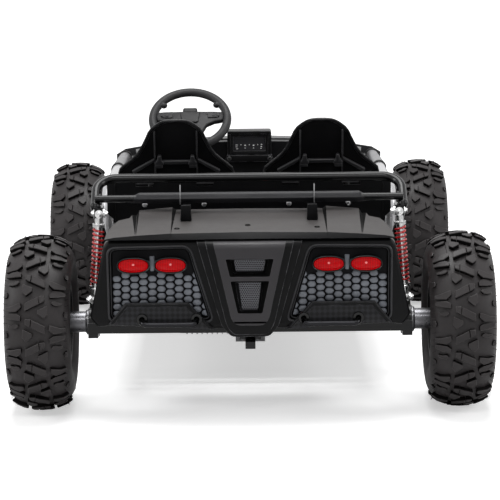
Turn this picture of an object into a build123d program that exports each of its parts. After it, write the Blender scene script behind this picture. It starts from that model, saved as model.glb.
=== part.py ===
from build123d import *
import os
from math import cos, sin, radians, sqrt

# Two-seat off-road kart, the whole vehicle. Millimetres, +Z up, +Y forward, +X to the driver's right.
# The origin is on the floor, midway along the length and on the centre plane.

# Driving sizes of the whole kart
wheelbase = 1140.0
track = 850.0
rear_overhang = 192.0
front_overhang = 240.0
tyre_diameter = 360.0
tyre_width = 140.0

# Places worked out from them
length = rear_overhang + wheelbase + front_overhang
rear_y = rear_overhang - length / 2
front_y = rear_y + wheelbase
axle_z = tyre_diameter / 2
wheel_x = track / 2
tyre_face_x = wheel_x - tyre_width / 2

# Body outlines are drawn for this half width between the tyres and this rail height, and move with both
drawn_face_x = 355.0
drawn_rail_z = 150.0

# Clearances
seat_gap = 0.3
running_gap = 0.05
slide_gap = 0.3

# Chassis tubes
rail_r = 12.5
rail_drop = 30.0
rail_inset = 85.0
rail_z = axle_z - rail_drop
rail_x = tyre_face_x - rail_inset
nose_rail_x = 130.0
nose_rail_top_x = 118.0
nose_rail_top_z = rail_z + 112.0
light_r = 10.0
cross_r = 11.0
rail_top = rail_z + rail_r
frame_back = rear_y + 200.0
cockpit_end = front_y - 260.0
nose_start = front_y - 175.0
nose_end = front_y + 122.0

# Plastic walls
wall = 5.0


def rod(start, end, radius):
    start, end = Vector(start), Vector(end)
    along = end - start
    return extrude(Plane(origin=start, z_dir=along) * Circle(radius), amount=along.length)


def bent_tube(points, radius, bend):
    path = FilletPolyline(*points, radius=bend)
    return sweep(Plane(origin=path @ 0, z_dir=path % 0) * Circle(radius), path=path)


def block(x0, x1, y0, y1, z0, z1):
    return Pos((x0 + x1) / 2, (y0 + y1) / 2, (z0 + z1) / 2) * Box(x1 - x0, y1 - y0, z1 - z0)


def prism_xz(points, y0, y1):
    face = make_face(Polyline(*[(x, y0, z) for x, z in points], close=True))
    return extrude(face, amount=y1 - y0, dir=(0, 1, 0))


def prism_yz(points, x0, x1):
    face = make_face(Polyline(*[(x0, y, z) for y, z in points], close=True))
    return extrude(face, amount=x1 - x0, dir=(1, 0, 0))


def prism_xy(points, z0, z1):
    face = make_face(Polyline(*[(x, y, z0) for x, y in points], close=True))
    return extrude(face, amount=z1 - z0, dir=(0, 0, 1))


def both_sides(shape):
    return shape + mirror(shape, about=Plane.YZ)


def fitted(points):
    """Drawn body points moved to the width between the tyres and to the rails' height."""
    return [(x * tyre_face_x / drawn_face_x, z + rail_z - drawn_rail_z) for x, z in points]


def fitted_z(z):
    return z + rail_z - drawn_rail_z


def fitted_x(x):
    return x * tyre_face_x / drawn_face_x


def section_y(points, y):
    return make_face(Polyline(*[(x, y, z) for x, z in points], close=True))


def revolve_x(points, centre_x, centre_y, centre_z):
    """Solid of revolution about a line along X. The points are pairs of (x along the line, radius)."""
    face = make_face(Polyline(*[(x, radius, 0) for x, radius in points], close=True))
    return Pos(centre_x, centre_y, centre_z) * revolve(face, axis=Axis.X, revolution_arc=360)


def save(name, shape):
    export_step(shape, f"parts/{name}.step")


os.makedirs("parts", exist_ok=True)


# Wheels: tyre, dished rim with hub
rim_radius = 76.0
flange_radius = 85.0
rim_half = 57.0
flange_thick = 3.0
rim_thick = 4.0
disc_thick = 7.0
disc_x = 12.0
hub_radius = 26.0
hub_half = 24.0
stub_radius = 8.0
axle_radius = 12.5
bolt_circle = 50.0
vent_radius = 7.0
tyre_radius = tyre_diameter / 2


# Tread: bars in two slants on the facets of the casing, and blocks that wrap round its shoulders
facets = 20
facet_turn = 360.0 / facets
lug_height = 9.5
lug_root = 4.0
tread_radius = tyre_radius - lug_height
bar_length = 42.0
bar_width = 17.0
bar_slant = 30.0
bar_offset = 9.0
shoulder_half = 13.0
bead_x = rim_half - flange_thick - seat_gap


def facet_corners(x, flat_radius):
    """Corners of a many-sided section across the wheel's axis, one of its flats facing down."""
    corner = flat_radius / cos(radians(facet_turn / 2))
    spots = [radians(facet_turn * (n + 0.5)) for n in range(facets)]
    return [(x, corner * sin(spot), corner * cos(spot)) for spot in spots]


def flat_sided(stations):
    """Solid of flat faces through the sections at these places, as pairs of (x, flat radius)."""
    rings = [facet_corners(x, radius) for x, radius in stations]
    faces = [Face(Wire.make_polygon(ring)) for ring in (rings[0], rings[-1])]
    for near, far in zip(rings, rings[1:]):
        for n in range(facets):
            faces.append(Face(Wire.make_polygon([near[n - 1], near[n], far[n], far[n - 1]])))
    return Solid(Shell(faces))


def tyre_form():
    half = tyre_width / 2
    side = [(bead_x, flange_radius + 5), (half, tyre_radius - 55), (half - 8, tyre_radius - 22),
            (half - 24, tread_radius)]
    stations = [(-x, radius) for x, radius in side] + [(x, radius) for x, radius in reversed(side)]
    casing = flat_sided(stations)
    lugs = []
    low = tread_radius - lug_root
    for n in range(facets):
        slant = bar_slant if n % 2 else -bar_slant
        offset = bar_offset if n % 2 else -bar_offset
        bar = Rot(0, 0, slant) * Box(bar_length, bar_width, tyre_radius - low)
        lugs.append(Rot(facet_turn * n, 0, 0) * Pos(offset, 0, (low + tyre_radius) / 2) * bar)
    wrap = [(half - 26, tread_radius - 8), (half - 23, tyre_radius - 3), (half - 12, tyre_radius - 8),
            (half - 0.5, tyre_radius - 27), (half - 0.5, tyre_radius - 48), (half - 6, tyre_radius - 48)]
    for sign, start in ((1, 0.0), (-1, facet_turn)):
        block_shape = prism_xz([(sign * x, radius) for x, radius in wrap], -shoulder_half, shoulder_half)
        for n in range(facets // 2):
            lugs.append(Rot(facet_turn * 2 * n + start, 0, 0) * block_shape)
    bore = rod((-half, 0, 0), (half, 0, 0), rim_radius + seat_gap)
    return casing + lugs - bore


tyre_solid = tyre_form()


def tyre(centre_x, centre_y):
    return Pos(centre_x, centre_y, axle_z) * tyre_solid


def rim(centre_x, centre_y, bore_radius, outward):
    """Pressed rim: a barrel between two flanges, a disc off the middle and a hub round the bore."""
    barrel = [(-rim_half, flange_radius), (-rim_half, rim_radius - rim_thick),
              (rim_half, rim_radius - rim_thick),
              (rim_half, flange_radius), (rim_half - flange_thick, flange_radius),
              (rim_half - flange_thick, rim_radius), (flange_thick - rim_half, rim_radius),
              (flange_thick - rim_half, flange_radius)]
    whole = revolve_x(barrel, 0, 0, 0)
    disc = [(disc_x, bore_radius), (disc_x, rim_radius - rim_thick / 2),
            (disc_x + disc_thick, rim_radius - rim_thick / 2),
            (disc_x + disc_thick, bore_radius)]
    hub = [(-hub_half, bore_radius), (-hub_half, hub_radius), (hub_half, hub_radius),
           (hub_half, bore_radius)]
    whole = whole + revolve_x(disc, 0, 0, 0) + revolve_x(hub, 0, 0, 0)
    for turn in range(4):
        angle = radians(90 * turn + 45)
        spot = (disc_x - 1, bolt_circle * cos(angle), bolt_circle * sin(angle))
        whole = whole - rod(spot, (disc_x + disc_thick + 1, spot[1], spot[2]), vent_radius)
    if outward < 0:
        whole = mirror(whole, about=Plane.YZ)
    return Pos(centre_x, centre_y, axle_z) * whole


axle_bore = axle_radius + running_gap
stub_bore = stub_radius + running_gap
save("rear_tyres", tyre(wheel_x, rear_y) + tyre(-wheel_x, rear_y))
save("rear_rims", rim(wheel_x, rear_y, axle_bore, 1) + rim(-wheel_x, rear_y, axle_bore, -1))
for side, sign in (("left", -1), ("right", 1)):
    save(f"tyre_front_{side}", tyre(sign * wheel_x, front_y))
    save(f"rim_front_{side}", rim(sign * wheel_x, front_y, stub_bore, sign))

# Live rear axle with a collar and a nut outside each hub
axle_end = wheel_x + hub_half + 14.0
nut_radius = 17.0
axle = rod((-axle_end, rear_y, axle_z), (axle_end, rear_y, axle_z), axle_radius)
collar = rod((wheel_x + hub_half + seat_gap, rear_y, axle_z), (axle_end - 2, rear_y, axle_z), nut_radius)
inner_collar = rod((wheel_x - hub_half - 10, rear_y, axle_z), (wheel_x - hub_half - seat_gap, rear_y,
                                                               axle_z), nut_radius)
save("axle_shaft", axle + both_sides(collar) + both_sides(inner_collar))

# Front knuckles: kingpin boss, stub axle and steering arm
kingpin_inset = 21.0
kingpin_x = tyre_face_x - kingpin_inset
kingpin_radius = 6.0
boss_radius = 12.0
knuckle_low = axle_z - 28.0
knuckle_high = axle_z + 30.0
arm_boss_height = 17.0
arm_reach = 60.0
arm_pad_radius = 9.0
arm_pad_low = axle_z - 5.0
arm_pad_high = axle_z + 3.0
pin_radius = 4.0
rod_eye_height = 9.0
stub_end = wheel_x + hub_half + 12.0
rod_z = arm_pad_high + seat_gap + rod_eye_height / 2


def knuckle(sign):
    x = sign * kingpin_x
    low, high = knuckle_low - arm_boss_height, knuckle_high + arm_boss_height
    shape = rod((x, front_y, knuckle_low), (x, front_y, knuckle_high), boss_radius)
    shape = shape + rod((x, front_y, low), (x, front_y, high), kingpin_radius)
    shape = shape + rod((x, front_y, axle_z), (sign * (wheel_x - hub_half - seat_gap), front_y, axle_z),
                        stub_radius + 4)
    shape = shape + rod((x, front_y, axle_z), (sign * stub_end, front_y, axle_z), stub_radius)
    shape = shape + rod((sign * (wheel_x + hub_half + seat_gap), front_y, axle_z),
                        (sign * (stub_end - 2), front_y, axle_z),
                        nut_radius - 3)
    shape = shape + block(x - 7, x + 7, front_y - arm_reach, front_y, arm_pad_low, arm_pad_high)
    shape = shape + rod((x, front_y - arm_reach, arm_pad_low), (x, front_y - arm_reach, arm_pad_high),
                        arm_pad_radius)
    top = arm_pad_high + rod_eye_height + 4
    return shape + rod((x, front_y - arm_reach, arm_pad_low), (x, front_y - arm_reach, top), pin_radius)


save("knuckle_left", knuckle(-1))
save("knuckle_right", knuckle(1))

# Steering rack: bar in a housing, an eye at each end
rack_y = front_y - arm_reach
rack_end_x = nose_rail_x + 60.0
rack_radius = 7.0
rack_z = (arm_pad_low + arm_pad_high) / 2
housing_radius = 13.0
housing_end = rack_end_x - 40.0
eye_radius = 10.0
rack = rod((-rack_end_x, rack_y, rack_z), (rack_end_x, rack_y, rack_z), rack_radius)
rack = rack & block(-rack_end_x, rack_end_x, rack_y - 20, rack_y + 20, rack_z - 20, arm_pad_high)
eye = rod((rack_end_x, rack_y, arm_pad_low), (rack_end_x, rack_y, arm_pad_high), eye_radius)
save("steering_rack", rack + both_sides(eye))


def tie_rod(sign):
    """Rod between the steering arm's pin and a pad over the rack's end."""
    low, high = arm_pad_high + seat_gap, arm_pad_high + seat_gap + rod_eye_height
    outer, inner = sign * kingpin_x, sign * rack_end_x
    shape = rod((outer, rack_y, low), (outer, rack_y, high), eye_radius)
    shape = shape + rod((inner, rack_y, low), (inner, rack_y, high), eye_radius)
    shape = shape + rod((inner, rack_y, rod_z), (outer, rack_y, rod_z), 4.0)
    return shape - rod((outer, rack_y, low - 1), (outer, rack_y, high + 1), pin_radius + running_gap)


save("tie_rod_left", tie_rod(-1))
save("tie_rod_right", tie_rod(1))

# Steering column and wheel, tilted towards the driver
steer_x = -fitted_x(137.0)
steer_y = front_y - 340.0
steer_z = fitted_z(505.0)
steer_tilt = 50.0
column_radius = 9.0
column_length = 352.0
wheel_rim_radius = 92.0
wheel_grip_radius = 9.5
steer_up = Vector(0, -cos(radians(steer_tilt)), sin(radians(steer_tilt)))
steer_centre = Vector(steer_x, steer_y, steer_z)
steer_plane = Plane(origin=steer_centre, x_dir=(1, 0, 0), z_dir=steer_up)
column_foot = steer_centre - steer_up * column_length


def steering_wheel():
    grip = Torus(wheel_rim_radius, wheel_grip_radius)
    hub = Pos(0, 0, -6) * Cylinder(30, 26)
    bar = Pos(0, 4, -4) * Box(2 * wheel_rim_radius - 4, 34, 12)
    lower = Pos(0, -wheel_rim_radius / 2 - 4, -4) * Box(40, wheel_rim_radius - 10, 10)
    return steer_plane * (grip + hub + bar + lower)


save("steering_wheel", steering_wheel())
column_top = steer_centre - steer_up * (19.0 + seat_gap)
save("steering_column", rod(column_top, column_foot, column_radius))

# Rack housing with the tower that takes the column's foot
tower_top = column_foot + steer_up * 40.0
tower_foot = column_foot - steer_up * 66.0
tower = rod(tower_foot, tower_top, 19.0)
housing = rod((-housing_end, rack_y, rack_z), (housing_end, rack_y, rack_z), housing_radius)
saddle_foot = rail_top + seat_gap
saddles = both_sides(block(nose_rail_x - 8, nose_rail_x + 8, rack_y - 12, rack_y + 12, saddle_foot, rack_z))
housing = housing + tower + saddles
housing = housing - rod((-housing_end - 1, rack_y, rack_z), (housing_end + 1, rack_y, rack_z),
                        rack_radius + slide_gap)
column_pocket = rod((column_foot - steer_up * 1.0), (tower_top + steer_up * 1.0),
                    column_radius + slide_gap)
save("rack_housing", housing - column_pocket)

# Welded tube frame: rails, nose box, tail rails, damper towers, rear hoop with its stays
uprights_y = (front_y - 72.0, front_y + 72.0)
side_foot_y = rear_y + 292.0
cross_y = (frame_back, side_foot_y, (side_foot_y + cockpit_end) / 2)
dash_bar_y = front_y - 110.0
dash_bar_z = fitted_z(382.0)
dash_leg_x = rail_x - 8.0
dash_leg_y = front_y - 255.0
side_rail_x = tyre_face_x - 51.0
side_rail_r = 13.5
socket_r = 16.5
socket_length = 34.0
tail_rail_x = fitted_x(170.0)
tail_rail_z = rail_z + 76.0
tail_rail_end = rear_y - 121.7
tail_post_y = (rear_y - 96.0, rear_y + 40.0)
tail_post_top = (fitted_z(378.5), fitted_z(389.6))
arm_pivot_low_x = 156.0
arm_pivot_low_z = rail_z
arm_pivot_high_x = 142.0
arm_pivot_high_z = nose_rail_top_z - 6.0
sleeve_radius = 8.0
sleeve_half = 15.0
ear_thick = 4.0
damper_x = kingpin_x - 72.0
damper_top_z = fitted_z(350.0)
damper_eye_r = 8.0
damper_eye_half = 9.0
tower_z = fitted_z(366.0)
hoop_r = 9.5
hoop_y = rear_y + 120.0
hoop_leg_y = rear_y + 40.0
hoop_x = tyre_face_x - 40.0
hoop_top_z = fitted_z(458.0)
hoop_low_z = fitted_z(412.0)
rear_damper_x = hoop_x - 10.0
rear_damper_y = rear_y + 18.0
rear_damper_top_z = fitted_z(401.0)
rear_damper_low_x = tyre_face_x - 37.0
rear_damper_low_z = axle_z + 42.0
back_post_x = fitted_x(205.0)
back_post_y = rear_y + 216.0
back_post_top = fitted_z(448.0)
swing_pivot_x = fitted_x(226.0)
swing_pivot_y = frame_back - 32.0
swing_sleeve_half = 20.0
cross_bar_z = fitted_z(427.0)


def ears(x, y, z, half, reach, axis):
    """Two plates beside one sleeve, each reaching past it towards the tube that carries them."""
    shape = None
    for end in (-1, 1):
        near = end * (half + seat_gap)
        far = near + end * ear_thick
        low, high = min(near, far), max(near, far)
        if axis == "y":
            plate = block(min(x - sleeve_radius, reach), max(x + sleeve_radius, reach), y + low, y + high,
                          z - sleeve_radius, z + sleeve_radius)
        else:
            plate = block(x + low, x + high, min(y - sleeve_radius, reach), max(y + sleeve_radius, reach),
                          z - sleeve_radius, z + sleeve_radius)
        shape = plate if shape is None else shape + plate
    return shape


def chassis_frame():
    rail = bent_tube([(rail_x, frame_back - rail_r, rail_z), (rail_x, cockpit_end, rail_z),
                      (nose_rail_x, nose_start, rail_z), (nose_rail_x, nose_end, rail_z)], rail_r, 60)
    shape = both_sides(rail)
    for y in cross_y:
        shape = shape + rod((-rail_x, y, rail_z), (rail_x, y, rail_z), cross_r)
    for y in (uprights_y[0], nose_end - 12):
        shape = shape + rod((-nose_rail_x, y, rail_z), (nose_rail_x, y, rail_z), light_r)
    top_start = uprights_y[0] - 30
    top_end = uprights_y[1] + 30
    top_rail = rod((nose_rail_top_x, top_start, nose_rail_top_z),
                   (nose_rail_top_x, top_end, nose_rail_top_z), light_r)
    shape = shape + both_sides(top_rail)
    thin_r = light_r - 2
    for y in (front_y - 20, uprights_y[1] + 22):
        upright = rod((nose_rail_x, y, rail_z), (nose_rail_top_x, y, nose_rail_top_z), thin_r)
        shape = shape + both_sides(upright)
        shape = shape + rod((-nose_rail_top_x, y, nose_rail_top_z), (nose_rail_top_x, y, nose_rail_top_z),
                            thin_r)
    post = rod((nose_rail_top_x, front_y, nose_rail_top_z), (nose_rail_top_x, front_y, tower_z), thin_r)
    shape = shape + both_sides(post) + rod((-damper_x, front_y, tower_z), (damper_x, front_y, tower_z),
                                           thin_r)
    for y in uprights_y:
        low_ears = ears(arm_pivot_low_x, y, arm_pivot_low_z, sleeve_half, nose_rail_x, "y")
        high_ears = ears(arm_pivot_high_x, y, arm_pivot_high_z, sleeve_half, nose_rail_top_x, "y")
        shape = shape + both_sides(low_ears) + both_sides(high_ears)
    leg = rod((dash_leg_x, dash_leg_y, rail_z), (dash_leg_x, dash_bar_y, dash_bar_z), light_r)
    dash_end = side_rail_x - socket_r - seat_gap
    shape = shape + both_sides(leg) + rod((-dash_end, dash_bar_y, dash_bar_z),
                                          (dash_end, dash_bar_y, dash_bar_z), light_r)
    outrigger = rod((rail_x, side_foot_y, rail_z), (side_rail_x + side_rail_r, side_foot_y, rail_z),
                    cross_r)
    shape = shape + both_sides(outrigger)
    tail = bent_tube([(tail_rail_x, frame_back, rail_z), (tail_rail_x, frame_back - 24, tail_rail_z),
                      (tail_rail_x, tail_rail_end, tail_rail_z)], light_r, 20)
    shape = shape + both_sides(tail)
    for y, top in zip(tail_post_y, tail_post_top):
        shape = shape + both_sides(rod((tail_rail_x, y, tail_rail_z), (tail_rail_x, y, top), thin_r))
    back_post = rod((back_post_x, back_post_y, rail_z), (back_post_x, back_post_y, back_post_top), thin_r)
    back_foot = rod((back_post_x, frame_back, rail_z), (back_post_x, back_post_y, rail_z), thin_r)
    shape = shape + both_sides(back_post) + both_sides(back_foot)
    top_z = back_post_top - 10
    shape = shape + rod((-back_post_x, back_post_y, top_z), (back_post_x, back_post_y, top_z), thin_r)
    for x in (-swing_pivot_x, swing_pivot_x):
        shape = shape + ears(x, swing_pivot_y, rail_z, swing_sleeve_half, frame_back, "x")
    hoop = bent_tube([(-hoop_x, hoop_leg_y, hoop_low_z), (-hoop_x, hoop_y, hoop_top_z),
                      (hoop_x, hoop_y, hoop_top_z), (hoop_x, hoop_leg_y, hoop_low_z)], hoop_r, 40)
    stay = rod((hoop_x, hoop_leg_y, hoop_low_z), (rail_x, frame_back, rail_z), hoop_r - 1)
    cross_bar = rod((-hoop_x, hoop_leg_y, cross_bar_z), (hoop_x, hoop_leg_y, cross_bar_z), hoop_r - 2)
    foot = Pos(hoop_x, hoop_leg_y, hoop_low_z) * Sphere(hoop_r + 1)
    return shape + hoop + both_sides(stay) + cross_bar + both_sides(foot)


frame = chassis_frame()
tower_ears = None
for end in (-1, 1):
    near = end * (damper_eye_half + seat_gap)
    far = near + end * ear_thick
    front_ear = block(damper_x - 8, damper_x + 8, front_y + min(near, far), front_y + max(near, far),
                      damper_top_z - 8, tower_z)
    rear_ear = block(rear_damper_x - 8, hoop_x, rear_damper_y + min(near, far),
                     rear_damper_y + max(near, far),
                     rear_damper_top_z - 8, hoop_low_z + 2)
    tower_ears = front_ear if tower_ears is None else tower_ears + front_ear
    tower_ears = tower_ears + rear_ear
ear_bridge = block(damper_x - 8, damper_x + 8, front_y - 13, front_y + 13, damper_top_z + 9, tower_z)
rear_bridge = block(rear_damper_x - 8, hoop_x, rear_damper_y - 13, hoop_leg_y, rear_damper_top_z + 9,
                    hoop_low_z + 2)
frame = frame + both_sides(tower_ears + ear_bridge + rear_bridge)
save("tube_frame", frame)

# Flat-sided cover on the cross bar, tapered at its ends
sleeve_x = fitted_x(250.0)
sleeve_taper = 15.0
sleeve_outer = 10.0
sleeve_rise = 10.5
sleeve_end_rise = 8.6
sleeve_side = [(sleeve_x - sleeve_taper, cross_bar_z + sleeve_rise),
               (sleeve_x, cross_bar_z + sleeve_end_rise), (sleeve_x, cross_bar_z - sleeve_end_rise),
               (sleeve_x - sleeve_taper, cross_bar_z - sleeve_rise)]
sleeve_outline = sleeve_side + [(-x, z) for x, z in reversed(sleeve_side)]
sleeve = prism_xz(sleeve_outline, hoop_leg_y - sleeve_outer, hoop_leg_y + sleeve_outer)
sleeve = sleeve - rod((-sleeve_x - 1, hoop_leg_y, cross_bar_z), (sleeve_x + 1, hoop_leg_y, cross_bar_z),
                      hoop_r - 2 + seat_gap)
save("crossbar_sleeve", sleeve)

# Front arms with the bosses that hold the kingpins
arm_tube_r = 6.0
arm_boss_r = 12.0
kingpin_bore = kingpin_radius + running_gap


def front_arm(sign, pivot_x, pivot_z, boss_low, with_plate):
    """Two tubes from the pivot sleeves meeting at the boss round the kingpin."""
    boss_high = boss_low + arm_boss_height - seat_gap
    middle = (boss_low + boss_high) / 2
    boss = rod((sign * kingpin_x, front_y, boss_low), (sign * kingpin_x, front_y, boss_high), arm_boss_r)
    shape = boss
    for y in uprights_y:
        shape = shape + rod((sign * pivot_x, y, pivot_z), (sign * (kingpin_x - 4), front_y, middle),
                            arm_tube_r)
        shape = shape + rod((sign * pivot_x, y - sleeve_half, pivot_z),
                            (sign * pivot_x, y + sleeve_half, pivot_z),
                            sleeve_radius)
    if with_plate:
        shape = shape + block(sign * (damper_x + 10) - 11, sign * (damper_x + 10) + 11, front_y - 30,
                              front_y + 30,
                              middle - 2, middle + 7)
    bore = rod((sign * kingpin_x, front_y, boss_low - 1), (sign * kingpin_x, front_y, boss_high + 1),
               kingpin_bore)
    return shape - bore


low_boss = knuckle_low - arm_boss_height
arm_plate_top = low_boss + (arm_boss_height - seat_gap) / 2 + 7
lower_arms = front_arm(1, arm_pivot_low_x, arm_pivot_low_z, low_boss, True)
lower_arms = lower_arms + front_arm(-1, arm_pivot_low_x, arm_pivot_low_z, low_boss, True)
save("front_lower_arms", lower_arms)
high_boss = knuckle_high + seat_gap
upper_arms = front_arm(1, arm_pivot_high_x, arm_pivot_high_z, high_boss, False)
upper_arms = upper_arms + front_arm(-1, arm_pivot_high_x, arm_pivot_high_z, high_boss, False)
save("front_upper_arms", upper_arms)


# Dampers with round spring seats and eyes, and the coil springs round them
damper_rod_r = 4.5
damper_can_r = 8.5
spring_mean_r = 10.6
spring_wire_r = 1.9
seat_plate_r = 12.3
seat_plate_thick = 4.0


def damper(low, high, low_is_foot):
    """Can below, rod above, a spring seat near each end, and a round eye on top."""
    low, high = Vector(low), Vector(high)
    along = (high - low).normalized()
    length_here = (high - low).length
    can_top = low + along * (length_here * 0.55)
    shape = rod(low, can_top, damper_can_r) + rod(low, high, damper_rod_r)
    for share in (0.14, 0.84):
        start = low + along * (length_here * share)
        shape = shape + rod(start, start + along * seat_plate_thick, seat_plate_r)
    eye_start = high - Vector(0, damper_eye_half, 0)
    shape = shape + rod(eye_start, high + Vector(0, damper_eye_half, 0), damper_eye_r)
    if low_is_foot:
        return shape
    low_start = low - Vector(0, damper_eye_half, 0)
    return shape + rod(low_start, low + Vector(0, damper_eye_half, 0), damper_eye_r)


def spring(low, high):
    low, high = Vector(low), Vector(high)
    along = (high - low).normalized()
    length_here = (high - low).length
    base = low + along * (length_here * 0.14 + seat_plate_thick + seat_gap)
    top = low + along * (length_here * 0.84 - seat_gap)
    outer = rod(base, top, spring_mean_r + spring_wire_r)
    return outer - rod(base - along, top + along, spring_mean_r - spring_wire_r)


front_low = (damper_x + 10, front_y, arm_plate_top + seat_gap + damper_eye_r)
front_high = (damper_x, front_y, damper_top_z)
rear_low = (rear_damper_low_x, rear_damper_y, rear_damper_low_z)
rear_high = (rear_damper_x, rear_damper_y, rear_damper_top_z)
save("front_dampers", both_sides(damper(front_low, front_high, False)))
save("front_springs", both_sides(spring(front_low, front_high)))
save("rear_dampers", both_sides(damper(rear_low, rear_high, False)))
save("rear_springs", both_sides(spring(rear_low, rear_high)))

# Swing arm: square cross beam, trailing arms, axle hangers and damper feet
tube_radius = 21.5
beam_y = rear_y - 56.0
beam_half = 10.5
beam_z = axle_z - 1.5
beam_x = tyre_face_x - 27.0
arm_half = 10.0


def swing_arm():
    shape = block(-beam_x, beam_x, beam_y - beam_half, beam_y + beam_half, beam_z - beam_half,
                  beam_z + beam_half)
    sleeve_end = swing_pivot_x + swing_sleeve_half
    outline = [(swing_pivot_x - 10, swing_pivot_y), (swing_pivot_x + 12, swing_pivot_y),
               (beam_x, rear_y + 50),
               (beam_x, beam_y), (beam_x - 20, beam_y), (beam_x - 20, rear_y + 40)]
    arm = prism_xy(outline, beam_z - arm_half - 12, beam_z + arm_half - 8)
    sleeve = rod((sleeve_end - 2 * swing_sleeve_half, swing_pivot_y, rail_z),
                 (sleeve_end, swing_pivot_y, rail_z), sleeve_radius)
    web = block(swing_pivot_x - 9, swing_pivot_x + 9, swing_pivot_y - 16, swing_pivot_y, rail_z - 4,
                beam_z + 2)
    hanger = rod((beam_x - 20, rear_y, axle_z), (beam_x, rear_y, axle_z), tube_radius + 9)
    foot_top = rear_damper_low_z - damper_eye_r - seat_gap
    foot = block(beam_x - 20, beam_x, rear_damper_y - 12, rear_damper_y + 12, axle_z, foot_top)
    side = arm + sleeve + web + hanger + foot
    shape = shape + both_sides(side)
    bore = rod((-beam_x - 5, rear_y, axle_z), (beam_x + 5, rear_y, axle_z), tube_radius + seat_gap)
    return shape - bore


save("swing_arm", swing_arm())

# Gearbox and motor round the middle of the axle, and the silver tube that holds the axle's bearings
gearbox_half = 30.0
gearbox_r = 44.0
motor_r = 44.0
motor_y = rear_y + 92.0
motor_half = 58.0
housing_tube_end = wheel_x - hub_half - 14.0
gearbox = rod((-gearbox_half, rear_y, axle_z), (gearbox_half, rear_y, axle_z), gearbox_r)
gearbox = gearbox + block(-gearbox_half, gearbox_half, rear_y, motor_y, axle_z - 36, axle_z + 36)
gearbox = gearbox - rod((-gearbox_half - 1, rear_y, axle_z), (gearbox_half + 1, rear_y, axle_z), axle_bore)
motor = rod((-gearbox_half - 2 * motor_half, motor_y, axle_z), (gearbox_half + 12, motor_y, axle_z),
            motor_r)
save("drive_motor", gearbox + motor)
tube_start = gearbox_half + seat_gap
axle_tube = rod((tube_start, rear_y, axle_z), (housing_tube_end, rear_y, axle_z), tube_radius)
hollow_start = tube_start + 14
axle_tube = axle_tube - rod((hollow_start, rear_y, axle_z), (housing_tube_end - 14, rear_y, axle_z),
                            tube_radius - 3.5)
axle_tube = axle_tube - rod((tube_start - 1, rear_y, axle_z), (housing_tube_end + 1, rear_y, axle_z),
                            axle_bore)
save("axle_tubes", both_sides(axle_tube))

# Battery on its tray over the axle
tray_z = tail_rail_z + light_r + seat_gap
tray_thick = 3.0
battery_floor = tray_z + tray_thick + seat_gap
tray_x = tail_rail_x + 14
save("battery_tray", block(-tray_x, tray_x, rear_y - 82, rear_y + 150, tray_z, tray_z + tray_thick)
     - both_sides(rod((tail_rail_x, tail_post_y[1], tray_z - 1), (tail_rail_x, tail_post_y[1], tray_z + 9),
                      9)))
battery_x = tail_rail_x - 22
save("battery_pack", block(-battery_x, battery_x, rear_y - 70, rear_y + 100, battery_floor,
                           battery_floor + 96))

# Floor pan on the rails
pan_z = rail_top + seat_gap
pan_thick = 3.0
pan_x = rail_x - 2.0
floor_outline = [(-pan_x, frame_back + 30), (pan_x, frame_back + 30), (pan_x, cockpit_end - 12),
                 (nose_rail_x, nose_start), (-nose_rail_x, nose_start), (-pan_x, cockpit_end - 12)]
pan = prism_xy(floor_outline, pan_z, pan_z + pan_thick)
pan = pan - both_sides(rod((dash_leg_x, dash_leg_y, pan_z - 1), (dash_leg_x, dash_leg_y + 12, pan_z + 12),
                           14))
save("floor_pan", pan)
floor_z = pan_z + pan_thick + seat_gap

# Bucket seats: hollow shells with bell-shaped backs
seat_x = fitted_x(157.0)
seat_half = fitted_x(126.0)
seat_back_y = rear_y + 330.0
seat_lean = 16.0
seat_height = fitted_z(555.0)
cushion_front = front_y - 440.0
cushion_top = fitted_z(248.0)
bolster = 24.0
seat_depth = 52.0


def bucket_seat(centre_x):
    foot = floor_z
    half = seat_half
    top = seat_height - foot
    right = [(24, top), (53, top - 11), (69, top - 35), (82, top - 59), (95, top - 75), (112, top - 90),
             (half, top - 106), (half, 0)]
    outline = [(-x, z) for x, z in reversed(right)] + right
    inner = [(-x * 0.82, z - 22 if z > 30 else z) for x, z in reversed(right)]
    inner = inner + [(-x, z) for x, z in reversed(inner)]
    lean = Rot(seat_lean, 0, 0)
    shell = prism_xz(outline, 0, seat_depth)
    hollow = prism_xz(inner, 16, seat_depth + 1)
    back = Pos(centre_x, seat_back_y + 88, foot) * lean * (shell - hollow)
    cushion = block(centre_x - half, centre_x + half, seat_back_y + 90, cushion_front, foot, cushion_top)
    cushion = fillet(cushion.edges().filter_by(Axis.Z).group_by(Axis.Y)[-1], 30)
    dish = block(centre_x - half + bolster, centre_x + half - bolster, seat_back_y + 100,
                 cushion_front - 24,
                 cushion_top - 32, cushion_top + 120)
    floor_cut = block(centre_x - 400, centre_x + 400, rear_y, cushion_front + 100, foot - 200, foot)
    return (back + cushion) - dish - floor_cut


save("seat_left", bucket_seat(-seat_x))
save("seat_right", bucket_seat(seat_x))

# Slotted panel behind the seats, on the rear of its posts
panel_y = back_post_y - (light_r - 2) - seat_gap
panel_thick = 4.0
panel_x = fitted_x(288.0)
slot_z = fitted_z(433.0)
slot_places = (-221.0, -94.0, 89.0, 218.0)
panel = block(-panel_x, panel_x, panel_y - panel_thick, panel_y, fitted_z(352.0), fitted_z(455.0))
for x in slot_places:
    panel = panel - block(fitted_x(x) - 18, fitted_x(x) + 18, panel_y - panel_thick - 1, panel_y + 1,
                          slot_z - 4, slot_z + 4)
panel_cut = rod((hoop_x, hoop_leg_y, hoop_low_z), (rail_x, frame_back, rail_z), hoop_r + 5)
save("seat_back_panel", panel - both_sides(panel_cut))

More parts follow.
